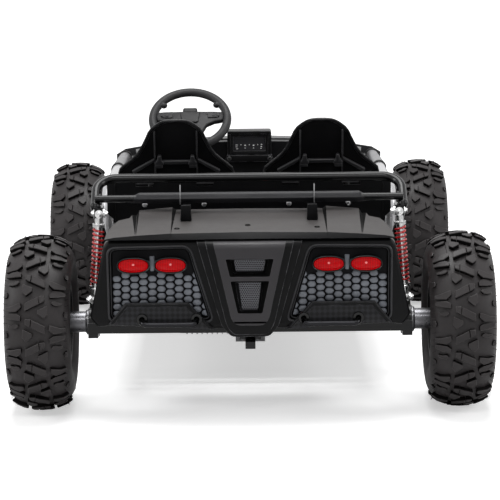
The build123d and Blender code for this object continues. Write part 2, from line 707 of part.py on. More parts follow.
# Rear deck: faceted cover over battery and motor
deck_back = rear_y - 160.0
deck_front = rear_y + 60.0
deck_low = fitted_z(372.0)
deck_back_pts = fitted([(0, 380), (156, 380), (232, 379.5), (285, 376), (285, 372), (0, 372)])
deck_front_pts = fitted([(0, 401), (152, 400), (212, 394), (261, 384), (261, 372), (0, 372)])


def ruled(sections):
    return loft([section_y(symmetric_section(points), y) for y, points in sections], ruled=True)


def symmetric_section(points):
    left = [(-x, z) for x, z in reversed(points) if x > 0]
    right = [(x, z) for x, z in points]
    return right + left


def lowered(points, down, inset, floor):
    """The same section pulled in from its sides and down from its top."""
    result = []
    for x, z in points[:-2]:
        result.append((min(x, points[-2][0] - inset), z - down))
    return result + [(points[-2][0] - inset, floor), (0, floor)]


deck_outer = ruled([(deck_back, deck_back_pts), (deck_front, deck_front_pts)])
deck_inner = ruled([(deck_back + wall, lowered(deck_back_pts, wall, wall, deck_low - 2)),
                    (deck_front + 1, lowered(deck_front_pts, wall, wall, deck_low - 2))])
save("rear_deck", deck_outer - deck_inner)

# Deck posts between deck and cross bar
bar_face = hoop_leg_y - sleeve_outer - seat_gap
deck_post = loft([section_y(fitted([(112, 387.5), (138, 387.5), (138, 392), (112, 392)]), rear_y - 52.0),
                  section_y(fitted([(114, 397.5), (136, 397.5), (136, 432), (114, 432)]), bar_face)],
                 ruled=True)
deck_tool = ruled([(deck_back, [(x, z + seat_gap) for x, z in deck_back_pts]),
                   (deck_front, [(x, z + seat_gap) for x, z in deck_front_pts])])
save("deck_posts", both_sides(deck_post) - deck_tool)

# Rear fascia with a recess in each pod
fascia_y = rear_y - 150.0
fascia_depth = 42.0
recess_depth = 23.0
fascia_pts = fitted([(0, 371.5), (278, 371.5), (288, 362), (307, 265), (318, 217), (302, 197), (277, 200),
                     (89, 192),
                     (0, 192)])
fascia_inner_pts = fitted([(0, 366.5), (276, 366.5), (283, 361), (302, 264), (312.5, 218), (300, 202),
                           (277, 205),
                           (89, 197), (0, 197)])
recess_pts = fitted([(272, 349), (124, 351), (83, 215), (271, 216)])
recess_wall_pts = fitted([(276, 353), (120, 355), (78, 211), (275, 212)])


def fascia():
    outer = prism_xz(symmetric_section(fascia_pts), fascia_y, fascia_y + fascia_depth)
    inner = prism_xz(symmetric_section(fascia_inner_pts), fascia_y + wall, fascia_y + fascia_depth + 1)
    shape = outer - inner
    shape = shape + both_sides(prism_xz(recess_wall_pts, fascia_y + wall, fascia_y + recess_depth + wall))
    return shape - both_sides(prism_xz(recess_pts, fascia_y - 1, fascia_y + recess_depth))


save("rear_fascia", fascia())

# Tail lamps, honeycomb inserts round them, and skirts below
lamp_half_x = 30.5
lamp_half_z = 16.0
lamp_z = fitted_z(322.0)
lamp_x = (fitted_x(156.0), fitted_x(229.5))
lamp_back = fascia_y + recess_depth - seat_gap
lamp_front = fascia_y - 9.0


def lamp_prism(x, grow, y0, y1):
    face = Plane(origin=(x, y1, lamp_z), x_dir=(1, 0, 0), z_dir=(0, -1, 0)) * Ellipse(lamp_half_x + grow,
                                                                                      lamp_half_z + grow)
    return extrude(face, amount=y1 - y0)


lamps = None
holes = None
for x in lamp_x:
    lamp = fillet(lamp_prism(x, 0, lamp_front, lamp_back).edges().group_by(Axis.Y)[0], 6)
    hole = lamp_prism(x, seat_gap, lamp_front, lamp_back + 1)
    lamps = lamp if lamps is None else lamps + lamp
    holes = hole if holes is None else holes + hole
save("tail_lamps", both_sides(lamps))

comb_pts = fitted([(271.3, 348.6), (124.5, 350.6), (94.6, 251), (270.8, 251)])
comb_front = fascia_y + 10.0
comb_back = fascia_y + recess_depth - seat_gap
cell_pitch_x = 18.4
cell_pitch_z = 14.0
cell_half_x = 9.4
cell_half_z = 5.8
cell_rise = 3.5
hexagon = [(cell_half_x, 0), (cell_half_x * 0.52, cell_half_z), (-cell_half_x * 0.52, cell_half_z),
           (-cell_half_x, 0),
           (-cell_half_x * 0.52, -cell_half_z), (cell_half_x * 0.52, -cell_half_z)]


def honeycomb():
    """Plate with raised six-sided pads in staggered columns, cut to the recess and round the lamps."""
    low = min(z for x, z in comb_pts)
    high = max(z for x, z in comb_pts)
    far = max(x for x, z in comb_pts)
    near = min(x for x, z in comb_pts)
    pads = []
    for column in range(int((far - near) / cell_pitch_x) + 2):
        for row in range(int((high - low) / cell_pitch_z) + 2):
            x = far - 8 - column * cell_pitch_x
            z = low + row * cell_pitch_z + (cell_pitch_z / 2 if column % 2 else 0)
            outline = [(x + dx, comb_front, z + dz) for dx, dz in hexagon]
            pads.append(make_face(Polyline(*outline, close=True)))
    region = section_y(comb_pts, comb_front)
    cells = extrude(Sketch() + pads & region, amount=cell_rise, dir=(0, -1, 0))
    return (prism_xz(comb_pts, comb_front, comb_back) + cells) - holes


save("honeycomb_inserts", both_sides(honeycomb()))

skirt_pts = fitted([(247, 247), (122, 247), (71, 192), (281, 204)])
skirt_face = fascia_y - 6.0
save("tail_skirts", both_sides(prism_xz(skirt_pts, skirt_face, fascia_y - seat_gap)))

# Grab handles on the skirts
handle_r = 5.0
handle_y = fascia_y - 24.0
handle_z = fitted_z(209.5)
handle_near = fitted_x(106.0)
handle_far = fitted_x(214.0)
handle_start = skirt_face - seat_gap
handle = bent_tube([(handle_near, handle_start, handle_z + 5), (handle_near, handle_y, handle_z - 3),
                    (handle_far, handle_y, handle_z - 3), (handle_far, handle_start, handle_z + 5)],
                   handle_r, 10)
handle = handle & block(handle_near - 20, handle_far + 20, handle_y - 20, handle_start, handle_z - 40,
                        handle_z + 40)
save("grab_handles", both_sides(handle))

# Centre V panel with two grille openings and their meshes
v_back = fascia_y - seat_gap
v_front = rear_y - rear_overhang
v_outer_pts = fitted([(0, 371.7), (104, 371.7), (57, 203), (36, 180), (0, 180)])
v_ridge_pts = fitted([(0, 371.7), (85, 371.7), (46, 203), (32, 187), (0, 187)])
v_face_pts = fitted([(0, 371.7), (69, 371.7), (38, 216), (28, 206), (0, 206)])
v_upper_pts = fitted([(47, 339), (39, 304), (-39, 304), (-47, 339)])
v_lower_pts = fitted([(38, 295), (24, 231), (-24, 231), (-38, 295)])
v_steps = (22.0, 11.0)
grille_depth = 14.0
v_panel = prism_xz(symmetric_section(v_outer_pts), v_front + v_steps[0], v_back)
v_panel = v_panel + prism_xz(symmetric_section(v_ridge_pts), v_front + v_steps[1], v_back)
v_panel = v_panel + prism_xz(symmetric_section(v_face_pts), v_front, v_back)
v_hollow_pts = fitted([(0, 368), (62, 368), (31, 212), (0, 212)])
v_cavity = prism_xz(symmetric_section(v_hollow_pts), v_front + grille_depth + wall, v_back + 1)
v_panel = v_panel - v_cavity
for points in (v_upper_pts, v_lower_pts):
    v_panel = v_panel - prism_xz(points, v_front - 1, v_front + grille_depth)
save("center_v_panel", v_panel)


def shrunk(points, gap):
    return [(x - gap if x > 0 else x + gap, z - gap if z == max(p[1] for p in points) else z + gap) for x,
            z in points]


mesh_front = v_front + 9.0
mesh_back = v_front + grille_depth - seat_gap
meshes = prism_xz(shrunk(v_upper_pts, seat_gap), mesh_front, mesh_back)
meshes = meshes + prism_xz(shrunk(v_lower_pts, seat_gap), mesh_front, mesh_back)
save("grille_meshes", meshes)

# Silver side rails, their front sockets, and the cowl
rail_front_y = front_y - 100.3
side_rail = bent_tube([(side_rail_x, side_foot_y, pan_z), (side_rail_x, side_foot_y + 8, fitted_z(404.0)),
                       (side_rail_x, rail_front_y - 240, fitted_z(396.0)),
                       (side_rail_x, rail_front_y, dash_bar_z + 2)], side_rail_r, 40)
save("side_rails", both_sides(side_rail))
socket = rod((side_rail_x, rail_front_y + seat_gap, dash_bar_z + 2),
             (side_rail_x, rail_front_y + socket_length, dash_bar_z), socket_r)
cowl_start = front_y - 235.0
cowl_wing_start = rail_front_y + 12.0
cowl_end = front_y + 198.0
cowl_shoulder = front_y - 130.0
cowl_waist = front_y + 50.0
wing_end = front_y + 56.0
cowl_a = fitted([(0, 447), (100, 445), (269, 410), (269, 398), (0, 398)])
cowl_b = fitted([(0, 441), (100, 438), (276, 409), (276, 396), (0, 396)])
cowl_c = fitted([(0, 412), (95, 408), (252, 384), (252, 372), (0, 372)])
cowl_d = fitted([(0, 330), (84, 327), (150, 306), (150, 292), (0, 292)])
cowl_sections = [(cowl_start, cowl_a), (cowl_shoulder, cowl_b), (cowl_waist, cowl_c), (cowl_end, cowl_d)]
cowl_hollow = []
for index, (y, points) in enumerate(cowl_sections):
    shift = (-1, 0, 0, wall)[index]
    cowl_hollow.append((y - shift if index else y - 1, lowered(points, wall, wall, points[-1][1] - 1)))
wing_out = side_rail_x + socket_r + wall
wing_a = fitted([(0, 412), (262, 412)]) + [(side_rail_x, fitted_z(405.0)), (wing_out, fitted_z(392.0)),
                                         (wing_out, fitted_z(368.0)), (0, fitted_z(368.0))]
wing_b = fitted([(0, 386), (236, 386), (258, 381), (266, 378), (266, 367), (0, 367)])
wing = ruled([(cowl_wing_start, wing_a), (wing_end, wing_b)])
wing_hollow = ruled([(cowl_wing_start + wall, lowered(wing_a, wall, wall, fitted_z(360.0))),
                     (wing_end + 1, lowered(wing_b, wall, wall, fitted_z(360.0)))])
cowl = ruled(cowl_sections) + wing
cowl = cowl - wing_hollow - ruled(cowl_hollow)
cowl = cowl - both_sides(rod((side_rail_x, rail_front_y, dash_bar_z + 2),
                             (side_rail_x, rail_front_y + socket_length + seat_gap, dash_bar_z),
                             socket_r + seat_gap))
save("cowl", cowl)
save("rail_sockets", both_sides(socket))

# Nose panel below the cowl, with the headlamps let into it
nose_y = cowl_end
nose_depth = 40.0
nose_pts = fitted([(0, 291.7), (148, 291.7), (162, 262), (150, 204), (118, 186), (0, 186)])
nose_inner_pts = fitted([(0, 286), (141, 286), (156, 261), (146, 208), (115, 191), (0, 191)])
headlamp_x = fitted_x(106.0)
headlamp_z = fitted_z(254.0)
headlamp_r = 24.0
nose = prism_xz(symmetric_section(nose_pts), nose_y - nose_depth, nose_y)
nose = nose - prism_xz(symmetric_section(nose_inner_pts), nose_y - nose_depth - 1, nose_y - wall)
lamp_hole = rod((headlamp_x, nose_y - wall - 1, headlamp_z), (headlamp_x, nose_y + 1, headlamp_z),
                headlamp_r + seat_gap)
save("nose_panel", nose - both_sides(lamp_hole))
headlamp = rod((headlamp_x, nose_y - 22, headlamp_z), (headlamp_x, nose_y + 6, headlamp_z), headlamp_r)
save("headlamps", both_sides(fillet(headlamp.edges().group_by(Axis.Y)[-1], 5)))

# Front bumper: two bars joined by risers, stubbed to the nose rails
bumper_r = 12.0
bumper_y = front_y + front_overhang - bumper_r
bumper_low = rail_z + 18.0
bumper_high = rail_z + 86.0
bumper_x = fitted_x(196.0)
lower_bar = bent_tube([(-bumper_x, bumper_y - 70, bumper_low), (-bumper_x + 26, bumper_y, bumper_low),
                       (bumper_x - 26, bumper_y, bumper_low), (bumper_x, bumper_y - 70, bumper_low)],
                      bumper_r, 30)
upper_bar = bent_tube([(-56, bumper_y, bumper_low), (-56, bumper_y, bumper_high),
                       (56, bumper_y, bumper_high),
                       (56, bumper_y, bumper_low)], bumper_r - 2, 26)
stub = rod((nose_rail_x, nose_end + seat_gap, rail_z), (nose_rail_x, bumper_y, bumper_low), bumper_r - 2)
front_of_rail = block(-rail_x, rail_x, nose_end + seat_gap, nose_end + length, 0, bumper_high + rail_z)
save("front_bumper", (lower_bar + upper_bar + both_sides(stub)) & front_of_rail)

# Dash with a hood for the display, cheeks and a lower bar
dash_back = front_y - 272.0
dash_front = cowl_start - seat_gap
dash_pts = fitted([(0, 444), (100, 442), (268, 408), (268, 352), (0, 352)])
dash_inner_pts = fitted([(0, 439), (98, 437), (263, 404), (263, 351), (0, 351)])
dash = prism_xz(symmetric_section(dash_pts), dash_back, dash_front)
dash = dash - prism_xz(symmetric_section(dash_inner_pts), dash_back + wall, dash_front + 1)
column_slot = rod(steer_centre, column_foot, column_radius + 9)
hood_left, hood_right = -45.0, 49.0
hood_low, hood_high = fitted_z(414.0), fitted_z(466.0)
hood_depth = 26.0
hood_edge = 9.0
screen_depth = 6.0
dash_hood = block(hood_left, hood_right, dash_back - hood_depth, dash_back + hood_depth, hood_low,
                  hood_high)
dash_hood = fillet(dash_hood.edges().filter_by(Axis.Y), hood_edge)
screen_cut = block(hood_left + hood_edge, hood_right - hood_edge, dash_back - hood_depth - 1,
                   dash_back - hood_depth + screen_depth, hood_low + hood_edge, hood_high - hood_edge)
save("dash_panel", (dash + dash_hood) - column_slot - screen_cut)
screen_in = hood_edge + seat_gap
save("display_screen", block(hood_left + screen_in, hood_right - screen_in, dash_back - hood_depth + 2,
                             dash_back - hood_depth + screen_depth - seat_gap, hood_low + screen_in,
                             hood_high - screen_in))

# Pedals hinged on feet on the floor pan
pedal_y = front_y - 278.0


def pedal(centre_x, width):
    foot = block(centre_x - 9, centre_x + 9, pedal_y - 14, pedal_y + 14, floor_z, floor_z + 16)
    stalk = prism_yz([(pedal_y - 5, floor_z + 10), (pedal_y + 5, floor_z + 10),
                      (pedal_y + 35, floor_z + 92),
                      (pedal_y + 25, floor_z + 92)], centre_x - 5, centre_x + 5)
    pad = prism_yz([(pedal_y + 12, floor_z + 76), (pedal_y + 20, floor_z + 73),
                    (pedal_y + 42, floor_z + 134),
                    (pedal_y + 34, floor_z + 137)], centre_x - width / 2, centre_x + width / 2)
    return foot + stalk + pad


pedal_width = 52.0
save("pedals", pedal(steer_x - pedal_width, pedal_width) + pedal(steer_x + pedal_width, pedal_width))

# Tow hitch stub under the V panel
hitch_z = axle_z - 18.0
hitch_half = 7.0
hitch_x = 10.0
hitch_bore = 5.0
hitch_start = beam_y - beam_half - seat_gap
hitch_end = rear_y - 168.0
hitch = block(-hitch_x, hitch_x, hitch_end, hitch_start, hitch_z - hitch_half, hitch_z + hitch_half)
hitch = hitch + block(-hitch_x - 12, hitch_x + 12, hitch_start - 6, hitch_start, hitch_z - hitch_half,
                      beam_z + beam_half)
hitch_bore_y = hitch_end + 14.0
hitch = hitch - rod((0, hitch_bore_y, hitch_z - 20), (0, hitch_bore_y, hitch_z + 20), hitch_bore)
save("tow_hitch", hitch)
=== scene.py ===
from math import cos, pi, radians, sin, sqrt

import bpy
from mathutils import Matrix, Vector


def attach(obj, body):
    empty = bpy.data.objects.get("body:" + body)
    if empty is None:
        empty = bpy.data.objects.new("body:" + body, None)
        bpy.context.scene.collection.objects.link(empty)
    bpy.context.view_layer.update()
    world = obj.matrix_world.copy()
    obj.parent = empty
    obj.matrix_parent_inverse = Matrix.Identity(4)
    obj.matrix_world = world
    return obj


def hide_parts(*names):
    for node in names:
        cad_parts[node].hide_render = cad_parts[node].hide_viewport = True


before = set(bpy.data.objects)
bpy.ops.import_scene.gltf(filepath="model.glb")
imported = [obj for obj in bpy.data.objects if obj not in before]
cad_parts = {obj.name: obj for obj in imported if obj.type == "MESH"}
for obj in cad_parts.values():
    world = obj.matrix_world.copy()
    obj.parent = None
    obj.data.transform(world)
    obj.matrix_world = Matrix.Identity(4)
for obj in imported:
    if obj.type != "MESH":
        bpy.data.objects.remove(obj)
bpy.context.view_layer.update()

scene = bpy.context.scene


# Camera. It stands behind the kart at an adult's chest height and looks slightly down at it, through a long lens,
# with a hair of tilt, as the photograph was taken.
camera_spot = (0.001, -5.324, 1.120)
camera_pitch = 80.46
camera_tilt = -0.59
camera_data = bpy.data.cameras.new("camera")
camera_data.lens = 169.7
camera_data.sensor_width = 36.0
camera_data.clip_end = 60.0
camera = bpy.data.objects.new("camera", camera_data)
scene.collection.objects.link(camera)
camera.matrix_world = (Matrix.Translation(camera_spot) @ Matrix.Rotation(radians(camera_pitch), 4, "X")
                       @ Matrix.Rotation(radians(camera_tilt), 4, "Z"))
scene.camera = camera


# Studio. A plain pale floor and surroundings that read white to the camera and in gloss, while the light that falls on
# the kart comes from large soft boxes overhead, behind and to both sides.
scene.view_settings.view_transform = "Standard"


def wire(node, feeds=None, levels=None):
    """Set a shader node's fixed input values and join the outputs that feed its other inputs."""
    for socket, value in (levels or {}).items():
        node.inputs[socket].default_value = value
    for socket, source in (feeds or {}).items():
        node.id_data.links.new(source, node.inputs[socket])
    return node


def add_node(tree, kind, feeds=None, levels=None, **settings):
    """A new shader node with its settings, fixed values and feeds."""
    node = tree.nodes.new("ShaderNode" + kind)
    for label, value in settings.items():
        setattr(node, label, value)
    return wire(node, feeds, levels)


def new_material(name):
    """A material whose Principled shader is joined to its output, with nothing else in its tree."""
    material = bpy.data.materials.new(name)
    material.use_nodes = True
    tree = material.node_tree
    tree.nodes.clear()
    shader = add_node(tree, "BsdfPrincipled")
    add_node(tree, "OutputMaterial", {"Surface": shader.outputs["BSDF"]})
    return material, tree, shader


world = bpy.data.worlds.new("studio")
scene.world = world
world.use_nodes = True
world_tree = world.node_tree
world_path = add_node(world_tree, "LightPath")
seen = world_path.outputs["Is Camera Ray"]
for kind in ("Is Glossy Ray", "Is Transmission Ray"):
    seen = add_node(world_tree, "Math", {0: seen, 1: world_path.outputs[kind]}, operation="MAXIMUM").outputs[0]
world_level = add_node(world_tree, "MapRange", {"Value": seen}, {"To Min": 0.22, "To Max": 1.0})
wire(world_tree.nodes["Background"], {"Strength": world_level.outputs[0]}, {"Color": (1.0, 1.0, 1.0, 1.0)})

bpy.ops.mesh.primitive_plane_add(size=60.0, location=(0.0, 0.0, -0.0005))
floor = bpy.context.object
floor.name = "floor"
floor_finish, tree, shader = new_material("pale_floor")
floor_spot = add_node(tree, "TexCoord")
floor_reach = add_node(tree, "VectorMath", {0: floor_spot.outputs["Object"]}, operation="LENGTH")
floor_fade = add_node(tree, "MapRange", {"Value": floor_reach.outputs["Value"]},
                      {"From Min": 0.9, "From Max": 2.6, "To Min": 0.50, "To Max": 1.0})
floor_path = add_node(tree, "LightPath")
floor_lift = add_node(tree, "Math", {0: floor_path.outputs["Is Camera Ray"], 1: floor_fade.outputs[0]},
                      operation="MULTIPLY")
wire(shader, {"Emission Strength": floor_lift.outputs[0]},
     {"Base Color": (0.93, 0.93, 0.93, 1.0), "Roughness": 0.9, "Specular IOR Level": 0.1,
      "Emission Color": (1.0, 1.0, 1.0, 1.0)})
floor.data.materials.append(floor_finish)
bpy.ops.object.transform_apply(location=True, rotation=True, scale=True)


def soft_box(name, spot, aim, width, height, watts):
    light = bpy.data.lights.new(name, "AREA")
    light.shape = "RECTANGLE"
    light.size = width
    light.size_y = height
    light.energy = watts
    lamp = bpy.data.objects.new(name, light)
    lamp.location = spot
    lamp.rotation_euler = (Vector(aim) - Vector(spot)).to_track_quat("-Z", "Y").to_euler()
    scene.collection.objects.link(lamp)


soft_box("box_over", (0.0, -0.2, 3.0), (0.0, -0.2, 0.2), 2.0, 1.8, 78.0)
soft_box("box_left", (-3.2, -1.2, 1.9), (0.0, -0.4, 0.2), 1.4, 2.0, 40.0)
soft_box("box_right", (3.2, -1.2, 1.9), (0.0, -0.4, 0.2), 1.4, 2.0, 34.0)
soft_box("box_behind", (0.0, -4.2, 3.6), (0.0, -0.5, 0.25), 2.2, 0.8, 40.0)


# Tyres. Four tubeless off-road tyres on six-inch rims: a round black rubber casing, moulded in one with slanting
# centre bars, pentagon studs between them, and arrow-shaped shoulder blocks that wrap on to the side walls.
front_axle_y = 0.546
rear_axle_y = -0.594
axle_height = 0.180
wheel_offset = 0.425
casing_profile = ((-0.0536, 0.0765), (-0.0540, 0.0885), (-0.0580, 0.0920), (-0.0640, 0.1080), (-0.0668, 0.1250),
                  (-0.0655, 0.1380), (-0.0600, 0.1500), (-0.0490, 0.1602), (-0.0340, 0.1668), (-0.0170, 0.1700),
                  (0.0000, 0.1708))
tread_pitches = 12
tread_radius = 0.1705


def deselect():
    if bpy.context.object and bpy.context.object.mode != "OBJECT":
        bpy.ops.object.mode_set(mode="OBJECT")
    bpy.ops.object.select_all(action="DESELECT")


def take(*objects):
    """Select these objects alone, the first one active."""
    deselect()
    for item in objects:
        item.select_set(True)
    bpy.context.view_layer.objects.active = objects[0]


def whole_mesh(item, work, **settings):
    """Run one mesh operator on all of this piece's mesh."""
    take(item)
    bpy.ops.object.mode_set(mode="EDIT")
    bpy.ops.mesh.select_all(action="SELECT")
    work(**settings)
    bpy.ops.object.mode_set(mode="OBJECT")


def settle(item):
    """Put the object's place, turn and scale into its mesh."""
    take(item)
    bpy.ops.object.transform_apply(location=True, rotation=True, scale=True)


def apply_all(item):
    take(item)
    for modifier in list(item.modifiers):
        bpy.ops.object.modifier_apply(modifier=modifier.name)


def trace(points, name):
    """An open line through the points, drawn by extruding one vertex."""
    deselect()
    bpy.ops.mesh.primitive_plane_add(size=0.01, location=points[0])
    line = bpy.context.object
    line.name = name
    bpy.ops.object.transform_apply(location=True, rotation=True, scale=True)
    bpy.ops.object.mode_set(mode="EDIT")
    bpy.ops.mesh.select_all(action="SELECT")
    bpy.ops.mesh.merge(type="CENTER")
    for before, after in zip(points, points[1:]):
        step = [b - a for a, b in zip(before, after)]
        bpy.ops.mesh.extrude_vertices_move(TRANSFORM_OT_translate={"value": step})
    return line


def spun(points, name, steps, axis="X"):
    """The points, pairs of (place along the axis, radius), turned about that axis into a closed skin."""
    if axis == "X":
        spots = [(along, 0.0, radius) for along, radius in points]
    elif axis == "Y":
        spots = [(radius, along, 0.0) for along, radius in points]
    else:
        spots = [(radius, 0.0, along) for along, radius in points]
    turn_axis = [float(letter == axis) for letter in "XYZ"]
    line = trace(spots, name)
    bpy.ops.mesh.select_all(action="SELECT")
    bpy.ops.mesh.spin(steps=steps, angle=2 * pi, center=(0, 0, 0), axis=turn_axis)
    bpy.ops.mesh.select_all(action="SELECT")
    bpy.ops.mesh.remove_doubles(threshold=0.00002)
    bpy.ops.mesh.normals_make_consistent(inside=False)
    bpy.ops.object.mode_set(mode="OBJECT")
    return line


def moved_copy(item, name, offset=(0, 0, 0), turn=None):
    """A copy with its own mesh, turned and then moved."""
    twin = item.copy()
    twin.data = item.data.copy()
    twin.name = name
    scene.collection.objects.link(twin)
    matrix = Matrix.Translation(offset)
    if turn is not None:
        matrix = matrix @ turn
    twin.data.transform(matrix)
    if matrix.determinant() < 0:
        whole_mesh(twin, bpy.ops.mesh.flip_normals)
    return twin


def copies_at(pattern, name, places):
    """Copies of a pattern at these places, in place of the pattern itself."""
    made = [moved_copy(pattern, name, place) for place in places]
    bpy.data.objects.remove(pattern)
    return made


def joined(items, name):
    take(*items)
    bpy.ops.object.join()
    whole = bpy.context.object
    whole.name = name
    return whole


def casing_radius(x):
    """The casing's radius at this distance from its middle plane."""
    half = [(abs(a), r) for a, r in casing_profile if r > 0.120]
    half.sort()
    x = abs(x)
    for (x0, r0), (x1, r1) in zip(half, half[1:]):
        if x <= x1:
            share = (x - x0) / (x1 - x0)
            return r0 + (r1 - r0) * share
    return half[-1][1] - (x - half[-1][0]) * 3.0


def casing_slope(x):
    """How fast the casing's radius changes at this distance from its middle plane."""
    return (casing_radius(x + 0.002) - casing_radius(x - 0.002)) / 0.004


def tread_block(outline, height, name, taper=0.0016):
    """A block on the flattened tread: its outline as (across, along), drawn in and bevelled at its top."""
    deselect()
    bpy.ops.mesh.primitive_circle_add(vertices=len(outline), radius=0.01, fill_type="NGON")
    block = bpy.context.object
    block.name = name
    for vertex, (across, along) in zip(block.data.vertices, outline):
        vertex.co = (across, along, -0.004)
    bpy.ops.object.mode_set(mode="EDIT")
    bpy.ops.mesh.select_all(action="SELECT")
    bpy.ops.mesh.normals_make_consistent(inside=False)
    bpy.ops.mesh.extrude_region_move(TRANSFORM_OT_translate={"value": (0, 0, height + 0.003)})
    bpy.ops.mesh.inset(thickness=taper, depth=0.001)
    bpy.ops.mesh.select_all(action="SELECT")
    bpy.ops.mesh.normals_make_consistent(inside=False)
    bpy.ops.object.mode_set(mode="OBJECT")
    return block


bar_long = ((-18.5, -1.0), (6.2, -14.2), (8.0, 1.4), (-17.5, 14.5), (-19.0, 13.0))
bar_short = ((7.4, -14.8), (9.0, -15.4), (17.5, -15.8), (18.4, -14.6), (18.2, -5.0), (12.5, -0.6), (9.2, 0.8))
stud_outline = ((5.2, 13.2), (21.5, 4.8), (23.4, 5.6), (24.6, 22.0), (18.0, 30.0), (16.4, 30.2), (5.0, 21.0))
upper_arm = ((-31.0, -2.0), (-27.5, -2.2), (-26.2, 7.0), (-35.0, 16.0), (-46.0, 15.2), (-55.0, 12.8), (-55.0, 4.6),
             (-46.0, 3.6))
lower_arm = ((-34.5, 19.6), (-26.8, 25.2), (-27.6, 34.6), (-43.0, 32.4), (-54.0, 28.0), (-54.0, 20.2), (-45.0, 19.0))
hook_outline = ((-33.0, 41.5), (-31.0, 46.0), (-35.5, 50.5), (-43.0, 51.0), (-50.5, 48.5), (-50.5, 42.5),
                (-43.0, 43.0), (-38.0, 40.5))
side_outline = ((-60.0, 61.0), (-55.5, 62.0), (-54.0, 68.0), (-55.5, 74.0), (-60.0, 75.0))
pitch = 2 * pi * tread_radius / tread_pitches
lug_height = 0.0088
stretch_along = pitch / 0.094
blocks = []
for side in (1, -1):
    shift = 0.0 if side > 0 else pitch / 2
    for outline, height in ((bar_long, 1.0), (bar_short, 1.0), (stud_outline, 0.96), (upper_arm, 0.92),
                            (lower_arm, 0.92), (hook_outline, 0.62), (side_outline, 0.42)):
        drawn = [(side * x / 1000, y / 1000 * stretch_along + shift) for x, y in outline]
        blocks.append(tread_block(drawn if side > 0 else drawn[::-1], lug_height * height, "lug", 0.0011))
one_pitch = joined(blocks, "tread_pitch")
for split in (0.0, 0.030, -0.030, 0.045, -0.045, 0.056, -0.056):
    whole_mesh(one_pitch, bpy.ops.mesh.bisect, plane_co=(split, 0, 0), plane_no=(1, 0, 0))
for vertex in one_pitch.data.vertices:
    across, along, height = vertex.co
    angle = along / tread_radius
    slope = casing_slope(across)
    lean = 1 / sqrt(1 + slope * slope)
    radius = casing_radius(across) + height * lean
    out_across = max(-0.0682, min(0.0682, across - height * slope * lean))
    vertex.co = (out_across, radius * cos(angle), radius * sin(angle))
whole_mesh(one_pitch, bpy.ops.mesh.flip_normals)
turned = [moved_copy(one_pitch, "tread_pitch", turn=Matrix.Rotation(2 * pi * n / tread_pitches, 4, "X"))
          for n in range(1, tread_pitches)]
tread = joined([one_pitch] + turned, "tread")

casing_points = list(casing_profile) + [(-x, r) for x, r in reversed(casing_profile[:-1])]
casing = spun(casing_points, "casing", 120)
take(casing)
rounder = casing.modifiers.new("soften", "SUBSURF")
rounder.levels = 1
rounder.render_levels = 1
apply_all(casing)
tyre = joined([casing, tread], "tyre")
take(tyre)
bpy.ops.object.shade_smooth_by_angle(angle=radians(32))

golden_turn = 0.381966
hair_reach = 0.1796
hair_side = 0.0698
hairs = []
for n in range(150):
    angle = n * 2 * pi * golden_turn
    spread = (n * 0.618) % 1.0
    across = (-1) ** n * (0.030 + 0.0335 * spread)
    slope = casing_slope(across)
    outward = Vector((-slope, 0.0, 1.0)).normalized()
    deselect()
    bpy.ops.mesh.primitive_cone_add(vertices=4, radius1=0.00050, radius2=0.00022, depth=0.013)
    hair = bpy.context.object
    aim = Vector((0, 0, 1)).rotation_difference(outward).to_matrix().to_4x4()
    foot = Vector((across, 0.0, casing_radius(across))) + outward * 0.0045
    hair.data.transform(Matrix.Rotation(angle, 4, "X") @ Matrix.Translation(foot) @ aim)
    hair.location = (0, 0, 0)
    for vertex in hair.data.vertices:
        x, y, z = vertex.co
        reach = sqrt(y * y + z * z)
        trim = min(1.0, hair_reach / reach)
        vertex.co = (max(-hair_side, min(hair_side, x)), y * trim, z * trim)
    hairs.append(hair)
tyre = joined([tyre] + hairs, "tyre")


def new_group(name, ins, outs):
    """A shader node group with its own named sockets."""
    group = bpy.data.node_groups.new(name, "ShaderNodeTree")
    for label, kind, value in ins:
        socket = group.interface.new_socket(name=label, in_out="INPUT", socket_type=kind)
        if value is not None:
            socket.default_value = value
    for label, kind in outs:
        group.interface.new_socket(name=label, in_out="OUTPUT", socket_type=kind)
    return group, group.nodes.new("NodeGroupInput"), group.nodes.new("NodeGroupOutput")


def grain_group():
    """Moulding grain and slow cloudiness on Object coordinates: a height, and a shade that runs about 0.5."""
    group, given, result = new_group("surface_grain", (("Grain Size", "NodeSocketFloat", 900.0),
                                                       ("Cloud Size", "NodeSocketFloat", 14.0)),
                                     (("Height", "NodeSocketFloat"), ("Cloud", "NodeSocketFloat")))
    spot = add_node(group, "TexCoord").outputs["Object"]
    grains = {"Vector": spot, "Scale": given.outputs["Grain Size"]}
    fine = add_node(group, "TexNoise", grains, {"Detail": 3.0})
    cells = add_node(group, "TexVoronoi", grains)
    cloud = add_node(group, "TexNoise", {"Vector": spot, "Scale": given.outputs["Cloud Size"]},
                     {"Detail": 5.0, "Roughness": 0.62})
    add = add_node(group, "Math", {0: fine.outputs["Fac"], 1: cells.outputs["Distance"]}, operation="ADD")
    wire(result, {"Height": add.outputs[0], "Cloud": cloud.outputs["Fac"]})
    return group


